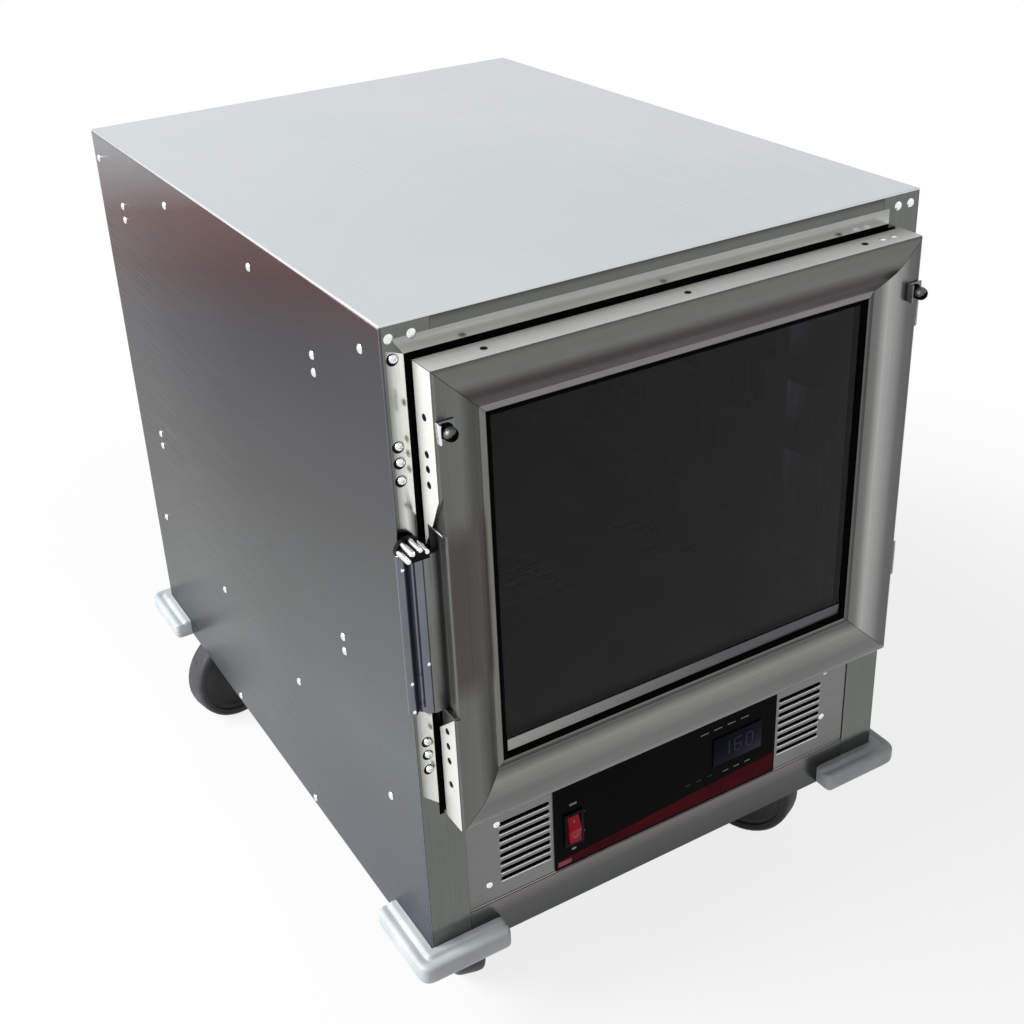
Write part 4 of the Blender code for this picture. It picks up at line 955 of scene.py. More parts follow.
@dataclass
class Door(SubAssembly):
    """The glazed door: mitred members, gasket, glass, stops and edge screws."""

    # a member's section: its flat, the curve that falls towards the glass, and the lip and groove round it
    width: float = 0.051
    corner: float = 0.004
    flat: float = 0.020
    fall: float = 0.011
    curve_steps: int = 12
    lip: float = 0.006
    lip_rise: float = 0.0012
    lip_edge: float = 0.001
    groove_front: float = 0.0137
    groove_back: float = 0.0213
    groove_depth: float = 0.008
    joint: float = 0.0003
    bulb: float = 0.012
    bead: float = 0.0058
    bead_rise: float = 0.0028
    sill: float = 0.0125
    sill_rise: float = 0.0012
    # how far in from the door's edge its outer face, which has painted reflection, and the milled recess
    # reach
    skin: float = 0.001
    recess_end: float = 0.009
    recess: float = 0.0035
    pocket_fit: float = 0.0003
    # the recess for the latch in the door's edge as (distance back from the front, height)
    recess_outline: Spots = (
        (-0.001, 0.645), (0.015, 0.612), (0.031, 0.586), (0.031, 0.402), (-0.001, 0.430)
    )
    # the stops: the bracket's plate and flange, the rubber's radius and foot, and where its cap lies, which
    # is the way towards the light; the rest of the rubber is black painted shade
    bracket: float = 0.0085
    plate: float = 0.002
    flange: float = 0.008
    stop: float = 0.006
    stop_foot: Spots = ((0.006, 0.004), (0.007, 0.0025), (0.007, 0.0), (0.0, 0.0))
    cap: Place = (-0.50, 0.10, 0.86)
    lit_share: float = 0.25
    # (radius, height) of the heads, and how far behind the middle of the edge they sit
    screw: Spot = (0.0032, 0.0008)
    rivet: Spot = (0.0032, 0.0010)
    screw_back: float = 0.001
    # heights above the body's lower edge of the screws in the door's latch edge
    edge_screws: tuple[float, ...] = (0.577, 0.545, 0.532, 0.518, 0.277, 0.261, 0.245, 0.219)
    # distances in from the door's left edge of the screws in its top edge, and of two rivets from its right
    top_screws: tuple[float, ...] = (0.055, 0.250, 0.445)
    top_rivets: tuple[float, ...] = (0.035, 0.022)

    def build(self) -> None:
        """Builds the door's pieces and dresses its glass."""
        left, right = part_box("door_left_member"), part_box("door_right_member")
        self.front, self.back = left[0].y, left[1].y
        self.low, self.high = (left[0].x, left[0].z), (right[1].x, right[1].z)
        self.build_members()
        self.build_gasket()
        self.build_glazing()
        self.build_stops()
        self.build_screws()
        self.dress(WINDOW_GLASS, "window_pane")

    def section(self) -> list[Spot]:
        """The section of a member as (distance in from the edge, y)."""
        bend, inner = self.width - self.flat - self.lip, self.width - self.groove_depth
        shares = [i / self.curve_steps for i in range(1, self.curve_steps + 1)]
        drops = [self.fall * (1 - math.cos(share * math.pi / 2)) for share in shares]
        tip = self.front + self.fall - self.lip_rise
        near, far = self.front + self.groove_front, self.front + self.groove_back
        return [
            (0.0, self.back),
            *arc((self.corner, self.front + self.corner), self.corner, 180, 270, 4),
            (self.flat, self.front),
            *((self.flat + bend * share, self.front + drop) for share, drop in zip(shares, drops)),
            (self.width - self.lip_edge, tip),
            (self.width, tip + self.lip_edge),
            (self.width, near),
            (inner, near),
            (inner, far),
            (self.width, far),
            (self.width, self.back),
        ]

    def build_members(self) -> None:
        """The four members with painted shading, their outer edges with painted reflection, and the latch's
        recess and pocket in the left one.
        """
        for edge, look in DOOR_PAINTED_SHADING.items():
            shape = member(self.section(), edge, self.low, self.high, self.joint)
            if edge is Edge.LEFT:
                shape = self.cut_for_latch(shape)
            name, inward, inset = edge.name.lower(), Vector(edge.value), partial(self.inset, edge)

            def depth(face: BMFace) -> float:
                """How far in from the door's edge the middle of a face lies."""
                return inset(face.calc_center_median())

            piece = Piece(f"door_{name}_extrusion", "door", "anodised_aluminium")
            piece.put(shape, look).grade(inset)
            # the outer edge faces take a near white finish, a painted reflection
            side = DOOR_EDGE_REFLECTED if edge in (Edge.LEFT, Edge.RIGHT) else DOOR_HEAD_REFLECTED
            piece.mark(side, lambda f: f.normal.dot(inward) < -ALIGNED and depth(f) < self.skin)
            if edge is Edge.LEFT:
                skin, end = self.skin, self.recess_end
                piece.mark(RECESS, lambda f: skin < depth(f) < end and f.normal.y > -ALIGNED)
            piece.make(f"door_{name}_member")

    def inset(self, edge: Edge, place: Vector) -> float:
        """How far a place lies in from one side of the door."""
        corner = self.low if edge in (Edge.LEFT, Edge.BOTTOM) else self.high
        return (place - Vector((corner[0], 0.0, corner[1]))).dot(Vector(edge.value))

    def cut_for_latch(self, shape: BMesh) -> BMesh:
        """Cuts the shallow recess in the left member's edge and the pocket behind it."""
        low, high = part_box("latch_base")
        slot = [(self.low[0] - PAST, self.front + y, z) for y, z in self.recess_outline]
        shape = carve(shape, prism(slot, (PAST + self.recess, 0, 0)))
        fit = self.pocket_fit
        return carve(shape, block((low.x - PAST, low.y - PAST, low.z - fit), high + Vector((fit, fit, fit))))

    def build_gasket(self) -> None:
        """The bulb gasket between the door and the face frame."""
        low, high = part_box("door_gasket")
        middle, depth, half = (low.y + high.y) / 2, (high.y - low.y) / 2, self.bulb / 2
        turn = [i * math.pi / 8 for i in range(16)]
        section = [(half - half * math.cos(a), middle - depth * math.sin(a)) for a in turn]
        gasket = Piece("door_bulb_gasket", "door", "black_rubber")
        gasket.surround(section, (low.x, low.z), (high.x, high.z), BLACK_RUBBER).make("door_gasket")

    def build_glazing(self) -> None:
        """The black bead round the glass, and the light sill strip along its foot."""
        low = tuple(c + self.width + HAIR for c in self.low)
        high = tuple(c - self.width - HAIR for c in self.high)
        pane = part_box("window_pane")[0].y
        face, crest = pane - HAIR, pane - self.bead_rise
        section = [(0.0, face), (0.0, crest), (self.bead / 2, crest), (self.bead, face)]
        Piece("glazing_bead", "door", "black_rubber").surround(section, low, high, BLACK_RUBBER_AND_SHADE).make()
        foot = low[1] + self.bead
        corner = (low[0] + self.bead, pane - self.sill_rise, foot)
        strip = block(corner, (high[0] - self.bead, face, foot + self.sill), radius=0.0006)
        Piece("glazing_sill", "door", "anodised_aluminium").put(strip, SILL_PAINTED_LIGHT).make()

    def build_stops(self) -> None:
        """The rubber stops, each under a grey half cap on the side towards the light and black with painted
        shade on the rest, in a bent bracket that is brighter on the left as a painted highlight.
        """
        cap, half, r = Vector(self.cap), self.bracket, self.stop
        # the left bracket's brighter metal is a painted highlight
        for side, plate, flange in (("left", CHROME, BRIGHT_HEAD_AND_HIGHLIGHT), ("right", MODULE_SHEET, MODULE_SHEET)):
            low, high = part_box(f"door_stud_{side}")
            x, z, foot = (low.x + high.x) / 2, (low.z + high.z) / 2, self.front - HAIR
            piece = Piece(f"door_stop_{side}", "door", "black_rubber")
            for look, depth, right in ((plate, self.plate, half), (flange, self.flange, self.plate - half)):
                corner = (x + right, foot, z + half)
                piece.put(block((x - half, foot - depth, z - half), corner, radius=0.0008), look)
            reach = foot - low.y
            profile = [*arc((0.0, reach - r), r, 90, 0, 8), (r, reach / 2), *self.stop_foot]
            piece.put(turned(profile, steps=32), BLACK_RUBBER_AND_SHADE, stand((x, foot, z), Facing.FRONT.value))
            end = foot - self.flange - HAIR
            # faces towards the light take the grey casting, and the black left on the rest is painted shade
            piece.mark(
                CASTING, lambda f: f.normal.dot(cap) > self.lit_share and f.calc_center_median().y < end
            ).make(f"door_stud_{side}")

    def build_screws(self) -> None:
        """Dark countersunk screws along the door's latch edge and its top edge, and two bright rivets."""
        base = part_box("left_outer_panel")[0].z
        middle = (self.front + self.back) / 2 + self.screw_back
        (left, _), (right, top) = self.low, self.high
        edge = [(left - HAIR, middle, base + z) for z in self.edge_screws]
        head = [(left + x, middle, top + HAIR) for x in self.top_screws]
        ends = [(right - x, middle, top) for x in self.top_rivets]
        screws = Piece("door_edge_screws", "door", "dark_steel")
        screws.fix(Head.SMALL_SCREW, self.screw, BLACKENED_AND_SHADE, Facing.LEFT, edge)
        screws.fix(Head.SMALL_SCREW, self.screw, BLACKENED_AND_SHADE, Facing.TOP, head)
        screws.fix(Head.RIVET, self.rivet, BRIGHT_HEAD_AND_HIGHLIGHT, Facing.TOP, ends).make()


@dataclass
class Latch(SubAssembly):
    """The covered cup in the door, the chrome lever with its fluted head, and its strike."""

    wall: float = 0.002
    cup_step: float = 0.0005
    # the angled cover over the cup's mouth
    cover: float = 0.003
    cover_step: float = 0.0035
    cover_side: float = 0.0097
    cover_sheet: float = 0.0015
    cover_fit: float = 0.0002
    # the lever: its two ridges, the corner behind the right one, and its gaps to the pivot and the cup
    left_ridge: float = 0.0039
    right_ridge: float = 0.0054
    bar_corner: float = 0.0015
    bar_front: float = 0.0015
    bar_gap: float = 0.0062
    bar_play: float = 0.003
    # the floor of the channel as (x, y) from the middles of the left and the right ridge, and where its dark
    # tone of painted shade starts, as a share of the left ridge
    channel_left: Spots = ((0.0057, 0.0004),)
    channel_right: Spots = ((-0.0068, 0.0008), (-0.0056, -0.0006))
    channel_shade_start: float = 0.8
    # the lever's head
    head_drop: float = 0.0165
    head_left: float = 0.0123
    head_radius: float = 0.0096
    head_front: float = 0.0125
    head_cap: float = 0.002
    flange_radius: float = 0.0122
    flange: float = 0.005
    flute: float = 0.0025
    flute_angles: tuple[float, ...] = (40.0, 82.0, 124.0, 166.0)
    # the web, the hinge barrel and its pin
    web: Spot = (0.0005, 0.0045)
    web_start: float = 0.004
    web_drop: float = 0.02
    barrel: float = 0.0045
    barrel_edge: Spot = (0.0005, 0.0006)
    pin: float = 0.002
    # (radius, height) of the small rivets, and their heights in the left and right ridges
    rivet: Spot = (0.0019, 0.001)
    left_rivets: tuple[float, ...] = (0.5765, 0.4645, 0.4355)
    right_rivets: tuple[float, ...] = (0.4815,)

    def build(self) -> None:
        """Builds the cup and the lever and dresses the strike."""
        self.pivot, _ = self.joint("latch_pivot")
        self.cup_low, self.cup_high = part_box("latch_base")
        self.build_cup()
        self.build_lever()
        self.dress(DARK_STEEL, "latch_strike")

    def build_cup(self) -> None:
        """A lined pocket with rounded inner corners, and an angled cover over its mouth in the left member's
        finish with its painted shading.
        """
        low, high, wall, fit = self.cup_low, self.cup_high, self.wall, self.cover_fit
        hollow = block((low.x - PAST, low.y - PAST, low.z + wall), high - Vector((wall, wall, wall)))
        far = [e for e in hollow.edges if all(v.co.x > high.x - 2 * wall for v in e.verts)]
        round_off(hollow, far, radius=0.005, steps=4)
        body = block((low.x, low.y + self.cup_step, low.z), high, radius=0.0004, steps=1)
        left, side, back = low.x + self.cover_step, low.y + self.cover_side, low.y + self.cover
        inner, right = left + self.cover_sheet, high.x + fit
        outline = [
            (left, side),
            *arc((left + self.cover, back), self.cover, 180, 270, 5),
            (right, low.y),
            (right, back),
            (inner, back),
            (inner, side),
        ]
        plate = prism([(x, y, low.z - fit) for x, y in outline], (0, 0, high.z - low.z + 2 * fit))
        cup = Piece("latch_cup", "door", "grey_casting").put(carve(body, hollow), CASTING)
        # the cover takes the left member's painted shading
        cup.put(plate, DOOR_PAINTED_SHADING[Edge.LEFT]).grade(lambda place: place.x - low.x)
        cup.mark(RECESS, lambda f: f.calc_center_median().x < inner - HAIR and f.normal.x < -0.7)
        cup.make("latch_base")

    def build_lever(self) -> None:
        """A sloping channel between two round ridges, a fluted head, and a web to its hinge barrel."""
        low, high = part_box("latch_lever")
        r, big, corner = self.left_ridge, self.right_ridge, self.bar_corner
        left, right = low.x, self.cup_low.x - self.bar_gap
        front, back = self.pivot.y + self.bar_front, high.y
        foot, top = self.cup_low.z + self.bar_play, self.cup_high.z - self.bar_play
        head = top - self.head_drop
        near, far = (left + r, back - r), (right - big, front + big)
        outline = [
            *arc(near, r, 90, 330, 12),
            *((near[0] + x, near[1] + y) for x, y in self.channel_left),
            *((far[0] + x, far[1] + y) for x, y in self.channel_right),
            *arc(far, big, 195, 360, 12),
            *arc((right - corner, back - corner), corner, 0, 90, 3),
        ]
        bar = prism([(x, y, foot) for x, y in outline], (0, 0, head - foot))
        ends = [e for e in bar.edges if abs(e.verts[0].co.z - e.verts[1].co.z) < SAME]
        round_off(bar, ends, radius=0.0004, steps=1)
        lever = Piece("latch_handle", "latch_lever", "chrome").put(bar, CHROME)
        # the channel's faces take painted shade
        start, end = near[0] + self.channel_shade_start * r, far[0] + self.channel_right[0][0] + HAIR
        lever.mark(CHANNEL_SHADE, lambda f: start < f.calc_center_median().x < end and f.normal.y < 0.5)
        feet = [(near[0], near[1] - r, z) for z in self.left_rivets]
        feet += [(far[0], front, z) for z in self.right_rivets]
        lever.fix(Head.RIVET, self.rivet, BRIGHT_HEAD_AND_HIGHLIGHT, Facing.FRONT, feet)
        self.put_head(lever, (left + self.head_left, back, head), back - front + self.head_front)
        self.put_barrel(lever, right, foot, top)
        lever.make("latch_lever")

    def put_head(self, lever: Piece, middle: Place, depth: float) -> None:
        """The lever's half-round head: bright flutes round a dark core, with a dark flange behind; the dark
        core and flange are painted shade.

        Args:
            lever: The piece that takes it.
            middle: The middle of its back.
            depth: How far it stands forward.
        """
        x, y, z = middle
        # the dark core and flange behind the flutes are painted shade
        for radius, reach in ((self.head_radius, depth - self.head_cap), (self.flange_radius, self.flange)):
            core = [(a, y, b) for a, b in arc((x, z), radius, 0, 180, 16)]
            lever.put(prism(core, (0, -reach, 0)), BLACKENED_AND_SHADE)
        tip, end = self.flute, depth - self.flange - self.flute
        rod = [(0.0, 0.0), (tip, 0.0), (tip, end), *arc((0.0, end), tip, 30, 90, 3)]
        for angle in self.flute_angles:
            (a, b), _ = arc((x, z), self.head_radius, angle, angle, 1)
            lever.put(turned(rod, steps=12), BRIGHT_HEAD_AND_HIGHLIGHT, stand((a, y - self.flange, b), Facing.FRONT.value))

    def put_barrel(self, lever: Piece, right: float, foot: float, top: float) -> None:
        """The web from the channel to the hinge barrel, the barrel and its pin.

        Args:
            lever: The piece that takes them.
            right: Where the channel ends.
            foot: The barrel's lower end.
            top: The barrel's upper end.
        """
        low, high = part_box("latch_lever")
        (x, y, _), tall, r, (cut, edge) = self.pivot, top - foot, self.barrel, self.barrel_edge
        near, far = (y + depth for depth in self.web)
        corner = (right - self.web_start, near, foot)
        lever.put(block(corner, (x, far, top - self.web_drop), radius=0.0005), RECESS)
        barrel = [(0.0, 0.0), (r - cut, 0.0), (r, edge), (r, tall - edge), (r - cut, tall), (0.0, tall)]
        lever.put(turned(barrel, steps=20), CASTING, Matrix.Translation((x, y, foot)))
        pin = [(0.0, 0.0), (self.pin, 0.0), (self.pin, high.z - low.z), (0.0, high.z - low.z)]
        lever.put(turned(pin, steps=12), BLACKENED_AND_SHADE, Matrix.Translation((x, y, low.z)))


@dataclass
class Hinges(SubAssembly):
    """The two lift-off hinges, with screws in their leaves and caps on their knuckles."""

    # (radius, height) of the screws, and their places up and down a leaf
    screw: Spot = (0.0030, 0.0014)
    rises: tuple[float, ...] = (-0.0125, 0.0, 0.0125)
    # the screws' distances in from the frame leaf's far corner and the door leaf's near one, as (x, y)
    frame_screw: Spot = (0.0055, 0.002)
    door_screw: Spot = (0.002, 0.010)
    dome: Spots = (
        (0.0, 0.0016), (0.0028, 0.0013), (0.0045, 0.0004), (0.0047, 0.0), (0.0032, 0.0), (0.0, 0.0004)
    )

    def build(self) -> None:
        """Adds three screws to each leaf and a cap to each knuckle, and dresses the leaves."""
        pin, _ = self.joint("door_hinge")
        for level in ("upper", "lower"):
            low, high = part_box(f"{level}_hinge_frame_leaf")
            leaf_low, leaf_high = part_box(f"{level}_hinge_door_leaf")
            post = (high.x - self.frame_screw[0], high.y - self.frame_screw[1], (low.z + leaf_low.z) / 2)
            door = (leaf_low.x + self.door_screw[0], leaf_low.y + self.door_screw[1])
            for name, body, facing, (x, y, z) in (
                ("post", "cabinet", Facing.FRONT, post),
                ("door", "door", Facing.RIGHT, (*door, (leaf_low.z + leaf_high.z) / 2)),
            ):
                screws = Piece(f"{level}_hinge_{name}_screws", body, "polished_aluminium")
                feet = [(x, y, z + rise) for rise in self.rises]
                screws.fix(Head.SCREW, self.screw, BRIGHT_HEAD_AND_HIGHLIGHT, facing, feet).make()
            cap = Piece(f"{level}_hinge_cap", "door", "polished_aluminium")
            place = Matrix.Translation((pin.x, pin.y, leaf_high.z))
            cap.put(turned(self.dome, steps=20), BRIGHT_HEAD_AND_HIGHLIGHT, place).make()
            self.dress(FRAME_STRIP, f"{level}_hinge_frame_leaf")
            self.dress(ZINC, f"{level}_hinge_door_leaf")


@dataclass
class ControlModule(SubAssembly):
    """The louvred front of the heating module with its control panel, and what stands behind it."""

    # the slots of the vents, and the section of the lip under each, which takes a painted highlight, as (y,
    # z) from the slot's lower edge
    slot_length: float = 0.056
    slot_height: float = 0.0045
    slot_pitch: float = 0.0095
    slots: int = 8
    first_slot: float = 0.023
    vent_middle: float = 0.1685
    slot_lip: Spots = ((0.0004, -0.0016), (-0.0007, -0.0010), (-0.0007, -0.0004), (0.0004, 0.0))
    # the strip of painted highlight along the foot: its thickness, and its lower and upper side
    trim: float = 0.0008
    trim_rise: Spot = (0.0002, 0.0016)
    # (radius, height) of the screws, and the (distance in from the left side, height) of each
    screw: Spot = (0.0036, 0.0009)
    screws: Spots = ((0.0655, 0.065), (0.0767, 0.134), (0.477, 0.145), (0.476, 0.087))
    # the print: its thickness, the stripe's margin and heights, and marks as (x, z) from the panel's lower
    # left corner, or in rows as (ink, distance from the right side, z, step, width, height, count)
    ink: float = 0.00012
    stripe_margin: float = 0.002
    stripe: Place = (0.003, 0.011, 0.026)
    stripe_mark: tuple[Spot, Spot] = ((0.0025, 0.004), (0.018, 0.0095))
    marks: tuple[tuple[Spot, Spot], ...] = (
        ((0.017, 0.074), (0.025, 0.0765)),
        ((0.0185, 0.0185), (0.0235, 0.021)),
        ((0.030, 0.060), (0.034, 0.0612)),
        ((0.030, 0.036), (0.034, 0.0372)),
    )
    rows: tuple[tuple[Finish, float, float, float, float, float, int], ...] = (
        (WHITE_INK, 0.098, 0.088, 0.017, 0.010, 0.0012, 4),
        (TEAL_INK, 0.116, 0.032, 0.014, 0.006, 0.0012, 3),
        (WHITE_INK, 0.068, 0.030, 0.014, 0.007, 0.0011, 3),
    )
    # the rocker: its crown, the hollow of its faces, and its tilt when it is pressed
    rocker_margin: float = 0.0045
    crown: float = 0.003
    hollow: float = 0.0009
    rocker_steps: int = 10
    rocker_depth: float = 0.007
    rocker_taper: float = 0.7
    rocker_tilt: float = -8.0
    # its marks, raised above its face: the bar as (half width, start and end as shares), and the ring
    mark_rise: float = 0.0007
    mark: float = 0.001
    bar: Place = (0.0006, 0.38, 0.66)
    ring: Spots = ((0.0016, 0.0), (0.0016, 0.0010), (0.0025, 0.0010), (0.0025, 0.0), (0.0016, 0.0))
    ring_share: float = 0.52
    # the bezel's rim, its sleeve, and the margins of the sleeve, the rocker's well and the sheet's hole
    bezel_rim: float = 0.002
    sleeve_start: float = 0.0015
    sleeve: float = 0.0015
    well: float = 0.0035
    sheet_hole: float = 0.001
    # the display's figures, with the lit bars of each digit
    digit: Spot = (0.010, 0.018)
    digit_line: float = 0.0018
    digit_gap: float = 0.005
    bar_gap: float = 0.0002
    digits: tuple[str, ...] = ("bc", "acdefg", "abcdef")
    # the inlet: how deep its floor lies, its pins as (across, height), their size, and its screws
    inlet_depth: float = 0.0152
    pins: Spots = ((-0.007, -0.001), (0.0, 0.003), (0.007, -0.001))
    pin: Place = (0.001, 0.010, 0.002)
    inlet_screw: Spot = (0.0030, 0.0014)
    inlet_screws: float = 0.0205

    def build(self) -> None:
        """Builds the front, its print, the switch and the display, and dresses what stands behind."""
        self.low, self.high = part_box("module_front_panel")
        self.panel_low, self.panel_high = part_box("control_panel")
        self.bezel_low, self.bezel_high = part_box("rocker_bezel")
        self.build_front()
        self.build_print()
        self.build_rocker()
        self.build_rim()
        self.build_display()
        self.build_inlet()
        self.dress(PANEL_FILM, "control_panel")
        self.dress(BLACK_PLASTIC, "power_inlet", "controller_box")
        self.dress(MILL, "module_tray", "fan_wheel")
        self.dress(DARK_STEEL, "fan_motor", "heating_element")

    def in_bezel(self, margin: float, front: float, back: float, **edges) -> BMesh:
        """A block this far in from the sides of the rocker's bezel, with edges as in block()."""
        low, high = self.bezel_low, self.bezel_high
        corner = (high.x - margin, back, high.z - margin)
        return block((low.x + margin, front, low.z + margin), corner, **edges)

    def build_front(self) -> None:
        """The front sheet with its slots and a painted highlight on a lip under each, its screws, and a
        strip of painted highlight along its foot.
        """
        low, high = self.low, self.high
        r, reach = self.slot_height / 2, self.slot_length / 2
        vents = (-self.vent_middle, self.vent_middle)
        rise = low.z + self.first_slot
        slots = [(x, rise + i * self.slot_pitch) for x in vents for i in range(self.slots)]
        cutters = bmesh.new()
        for x, z in slots:
            outline = arc((x + reach - r, z), r, -90, 90, 6) + arc((x - reach + r, z), r, 90, 270, 6)
            pour(prism([(a, low.y - PAST / 2, b) for a, b in outline], (0, PAST, 0)), cutters)
        sheet = carve(block(low, high, radius=0.0004, steps=1), cutters)
        sheet = carve(sheet, self.in_bezel(self.sheet_hole, low.y - PAST, low.y + PAST))
        front = Piece("module_louvred_front", "cabinet", "satin_aluminium").put(sheet, MODULE_SHEET)
        # the lips take the bright rivet metal as a painted highlight
        for x, z in slots:
            lip = [(x - reach, low.y + y, z - r + h) for y, h in self.slot_lip]
            front.put(prism(lip, (2 * reach, 0, 0)), BRIGHT_HEAD_AND_HIGHLIGHT)
        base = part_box("left_outer_panel")[0]
        feet = [(base.x + x, low.y, base.z + z) for x, z in self.screws]
        front.fix(Head.SCREW, self.screw, BRIGHT_HEAD_AND_HIGHLIGHT, Facing.FRONT, feet).make("module_front_panel")
        # a thin bright strip along the foot is a painted highlight on the sheet's folded edge
        foot, top = (low.z + height for height in self.trim_rise)
        strip = block((low.x, low.y - self.trim, foot), (high.x, low.y, top), radius=0.0003, steps=1)
        Piece("module_foot_strip", "cabinet", "satin_aluminium").put(strip, TRIM_HIGHLIGHT).make()

    def stroke(self, low: Spot, high: Spot, lift: float = 0.0) -> BMesh:
        """A flat mark between two corners, as (x, z) from the panel's lower left one, lifted off it."""
        x, z, y = self.panel_low.x, self.panel_low.z, self.panel_low.y - lift
        return block((x + low[0], y - self.ink, z + low[1]), (x + high[0], y, z + high[1]))

    def build_print(self) -> None:
        """The stripe along the panel's foot, and short generic marks beside the controls."""
        x, y, z = self.panel_low
        wide, start = self.panel_high.x - x, self.stripe_margin
        (foot, left, right), end = self.stripe, wide - start
        stripe = [(x + a, y, z + b) for a, b in ((start, foot), (end, foot), (end, right), (start, left))]
        band = Piece("panel_stripe", "cabinet", "red_plastic")
        band.put(prism(stripe, (0, -self.ink, 0)), RED_INK)
        band.put(self.stroke(*self.stripe_mark, self.ink), PINK_INK).make()
        marks = Piece("panel_marks", "cabinet", "black_plastic")
        for corners in self.marks:
            marks.put(self.stroke(*corners), WHITE_INK)
        for look, back, height, step, length, thick, count in self.rows:
            for i in range(count):
                at = wide - back + i * step
                marks.put(self.stroke((at, height), (at + length, height + thick)), look)
        marks.make()

    def build_rocker(self) -> None:
        """The lit rocker with hollowed faces and its two marks, tilted to its pressed end."""
        low, high, front = self.bezel_low, self.bezel_high, self.bezel_low.y
        pivot, _ = self.joint("power_switch")
        wide, tall = ((b - a) / 2 - self.rocker_margin for a, b in ((low.x, high.x), (low.z, high.z)))
        outline = []
        for i in range(2 * self.rocker_steps + 1):
            share = i / self.rocker_steps - 1
            hollow = self.hollow * math.sin(math.pi * abs(share))
            outline.append((front - self.crown * (1 - abs(share)) + hollow, share * tall))
        back, taper = front + self.rocker_depth, tall * self.rocker_taper
        outline += [(back, taper), (back, -taper)]
        key = prism([(pivot.x - wide, y, pivot.z + h) for y, h in outline], (2 * wide, 0, 0))
        sides = [e for e in key.edges if abs(e.verts[0].co.x - e.verts[1].co.x) < SAME]
        round_off(key, sides, radius=0.0005, steps=2)
        tilt = Matrix.Rotation(math.radians(self.rocker_tilt), 4, "X")
        place = Matrix.Translation(pivot) @ tilt @ Matrix.Translation(-pivot)
        rise = front - self.crown / 2 + self.mark_rise
        half, foot, top = self.bar
        corner = (pivot.x + half, rise + self.mark, pivot.z + tall * top)
        bar = block((pivot.x - half, rise, pivot.z + tall * foot), corner, radius=0.0002, steps=1)
        spot = stand((pivot.x, rise + self.mark, pivot.z - tall * self.ring_share), Facing.FRONT.value)
        rocker = Piece("power_rocker_key", "power_rocker", "red_plastic")
        rocker.put(key, ROCKER_RED, place).put(bar, WHITE_INK, place)
        rocker.put(turned(self.ring, steps=16), WHITE_INK, place @ spot).make("power_rocker")

    def build_rim(self) -> None:
        """The rim round the rocker, and its sleeve behind the sheet."""
        front, back = self.bezel_low.y, self.bezel_high.y
        rim = Piece("rocker_rim", "cabinet", "black_plastic")
        for shape in (
            self.in_bezel(0.0, front, front + self.bezel_rim, radius=0.0007, steps=3),
            self.in_bezel(self.sleeve, front + self.sleeve_start, back),
        ):
            rim.put(carve(shape, self.in_bezel(self.well, front - PAST, back + PAST)), BLACK_PLASTIC)
        rim.make("rocker_bezel")

    def build_display(self) -> None:
        """The display's lens, with three dim lit figures on it."""
        low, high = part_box("display_window")
        lens = Piece("display_lens", "cabinet", "tinted_lens").put(block(low, high, radius=0.0005), LENS)
        (wide, tall), line, gap = self.digit, self.digit_line, self.bar_gap
        bars = {
            "a": ((0.0, tall - line), (wide, tall)),
            "g": ((0.0, (tall - line) / 2), (wide, (tall + line) / 2)),
            "d": ((0.0, 0.0), (wide, line)),
            "f": ((0.0, tall / 2), (line, tall)),
            "e": ((0.0, 0.0), (line, tall / 2)),
            "b": ((wide - line, tall / 2), (wide, tall)),
            "c": ((wide - line, 0.0), (wide, tall / 2)),
        }
        start = (low.x + high.x) / 2 - 1.5 * wide - self.digit_gap
        foot = (low.z + high.z) / 2 - tall / 2
        for i, lit in enumerate(self.digits):
            x = start + i * (wide + self.digit_gap)
            for a, b in (corners for name, corners in bars.items() if name in lit):
                corner = (x + b[0] - gap, low.y, foot + b[1] - gap)
                lens.put(block((x + a[0] + gap, low.y - HAIR, foot + a[1] + gap), corner), FIGURES)
        lens.make("display_window")

    def build_inlet(self) -> None:
        """Three pins in the power inlet's socket, and two screws in its flange."""
        low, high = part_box("power_inlet")
        x, z, floor = (low.x + high.x) / 2, (low.z + high.z) / 2, high.y - self.inlet_depth
        half, reach, rise = self.pin
        pins = Piece("inlet_pins", "cabinet", "zinc_steel")
        for across, height in self.pins:
            a, b = x + across, z + height
            corner = (a + half, floor + reach, b + rise)
            pins.put(block((a - half, floor, b - rise), corner, radius=0.0004, steps=1), ZINC)
        feet = [(x + side * self.inlet_screws, high.y, z) for side in (-1, 1)]
        pins.fix(Head.SCREW, self.inlet_screw, DARK_STEEL, Facing.BACK, feet).make()


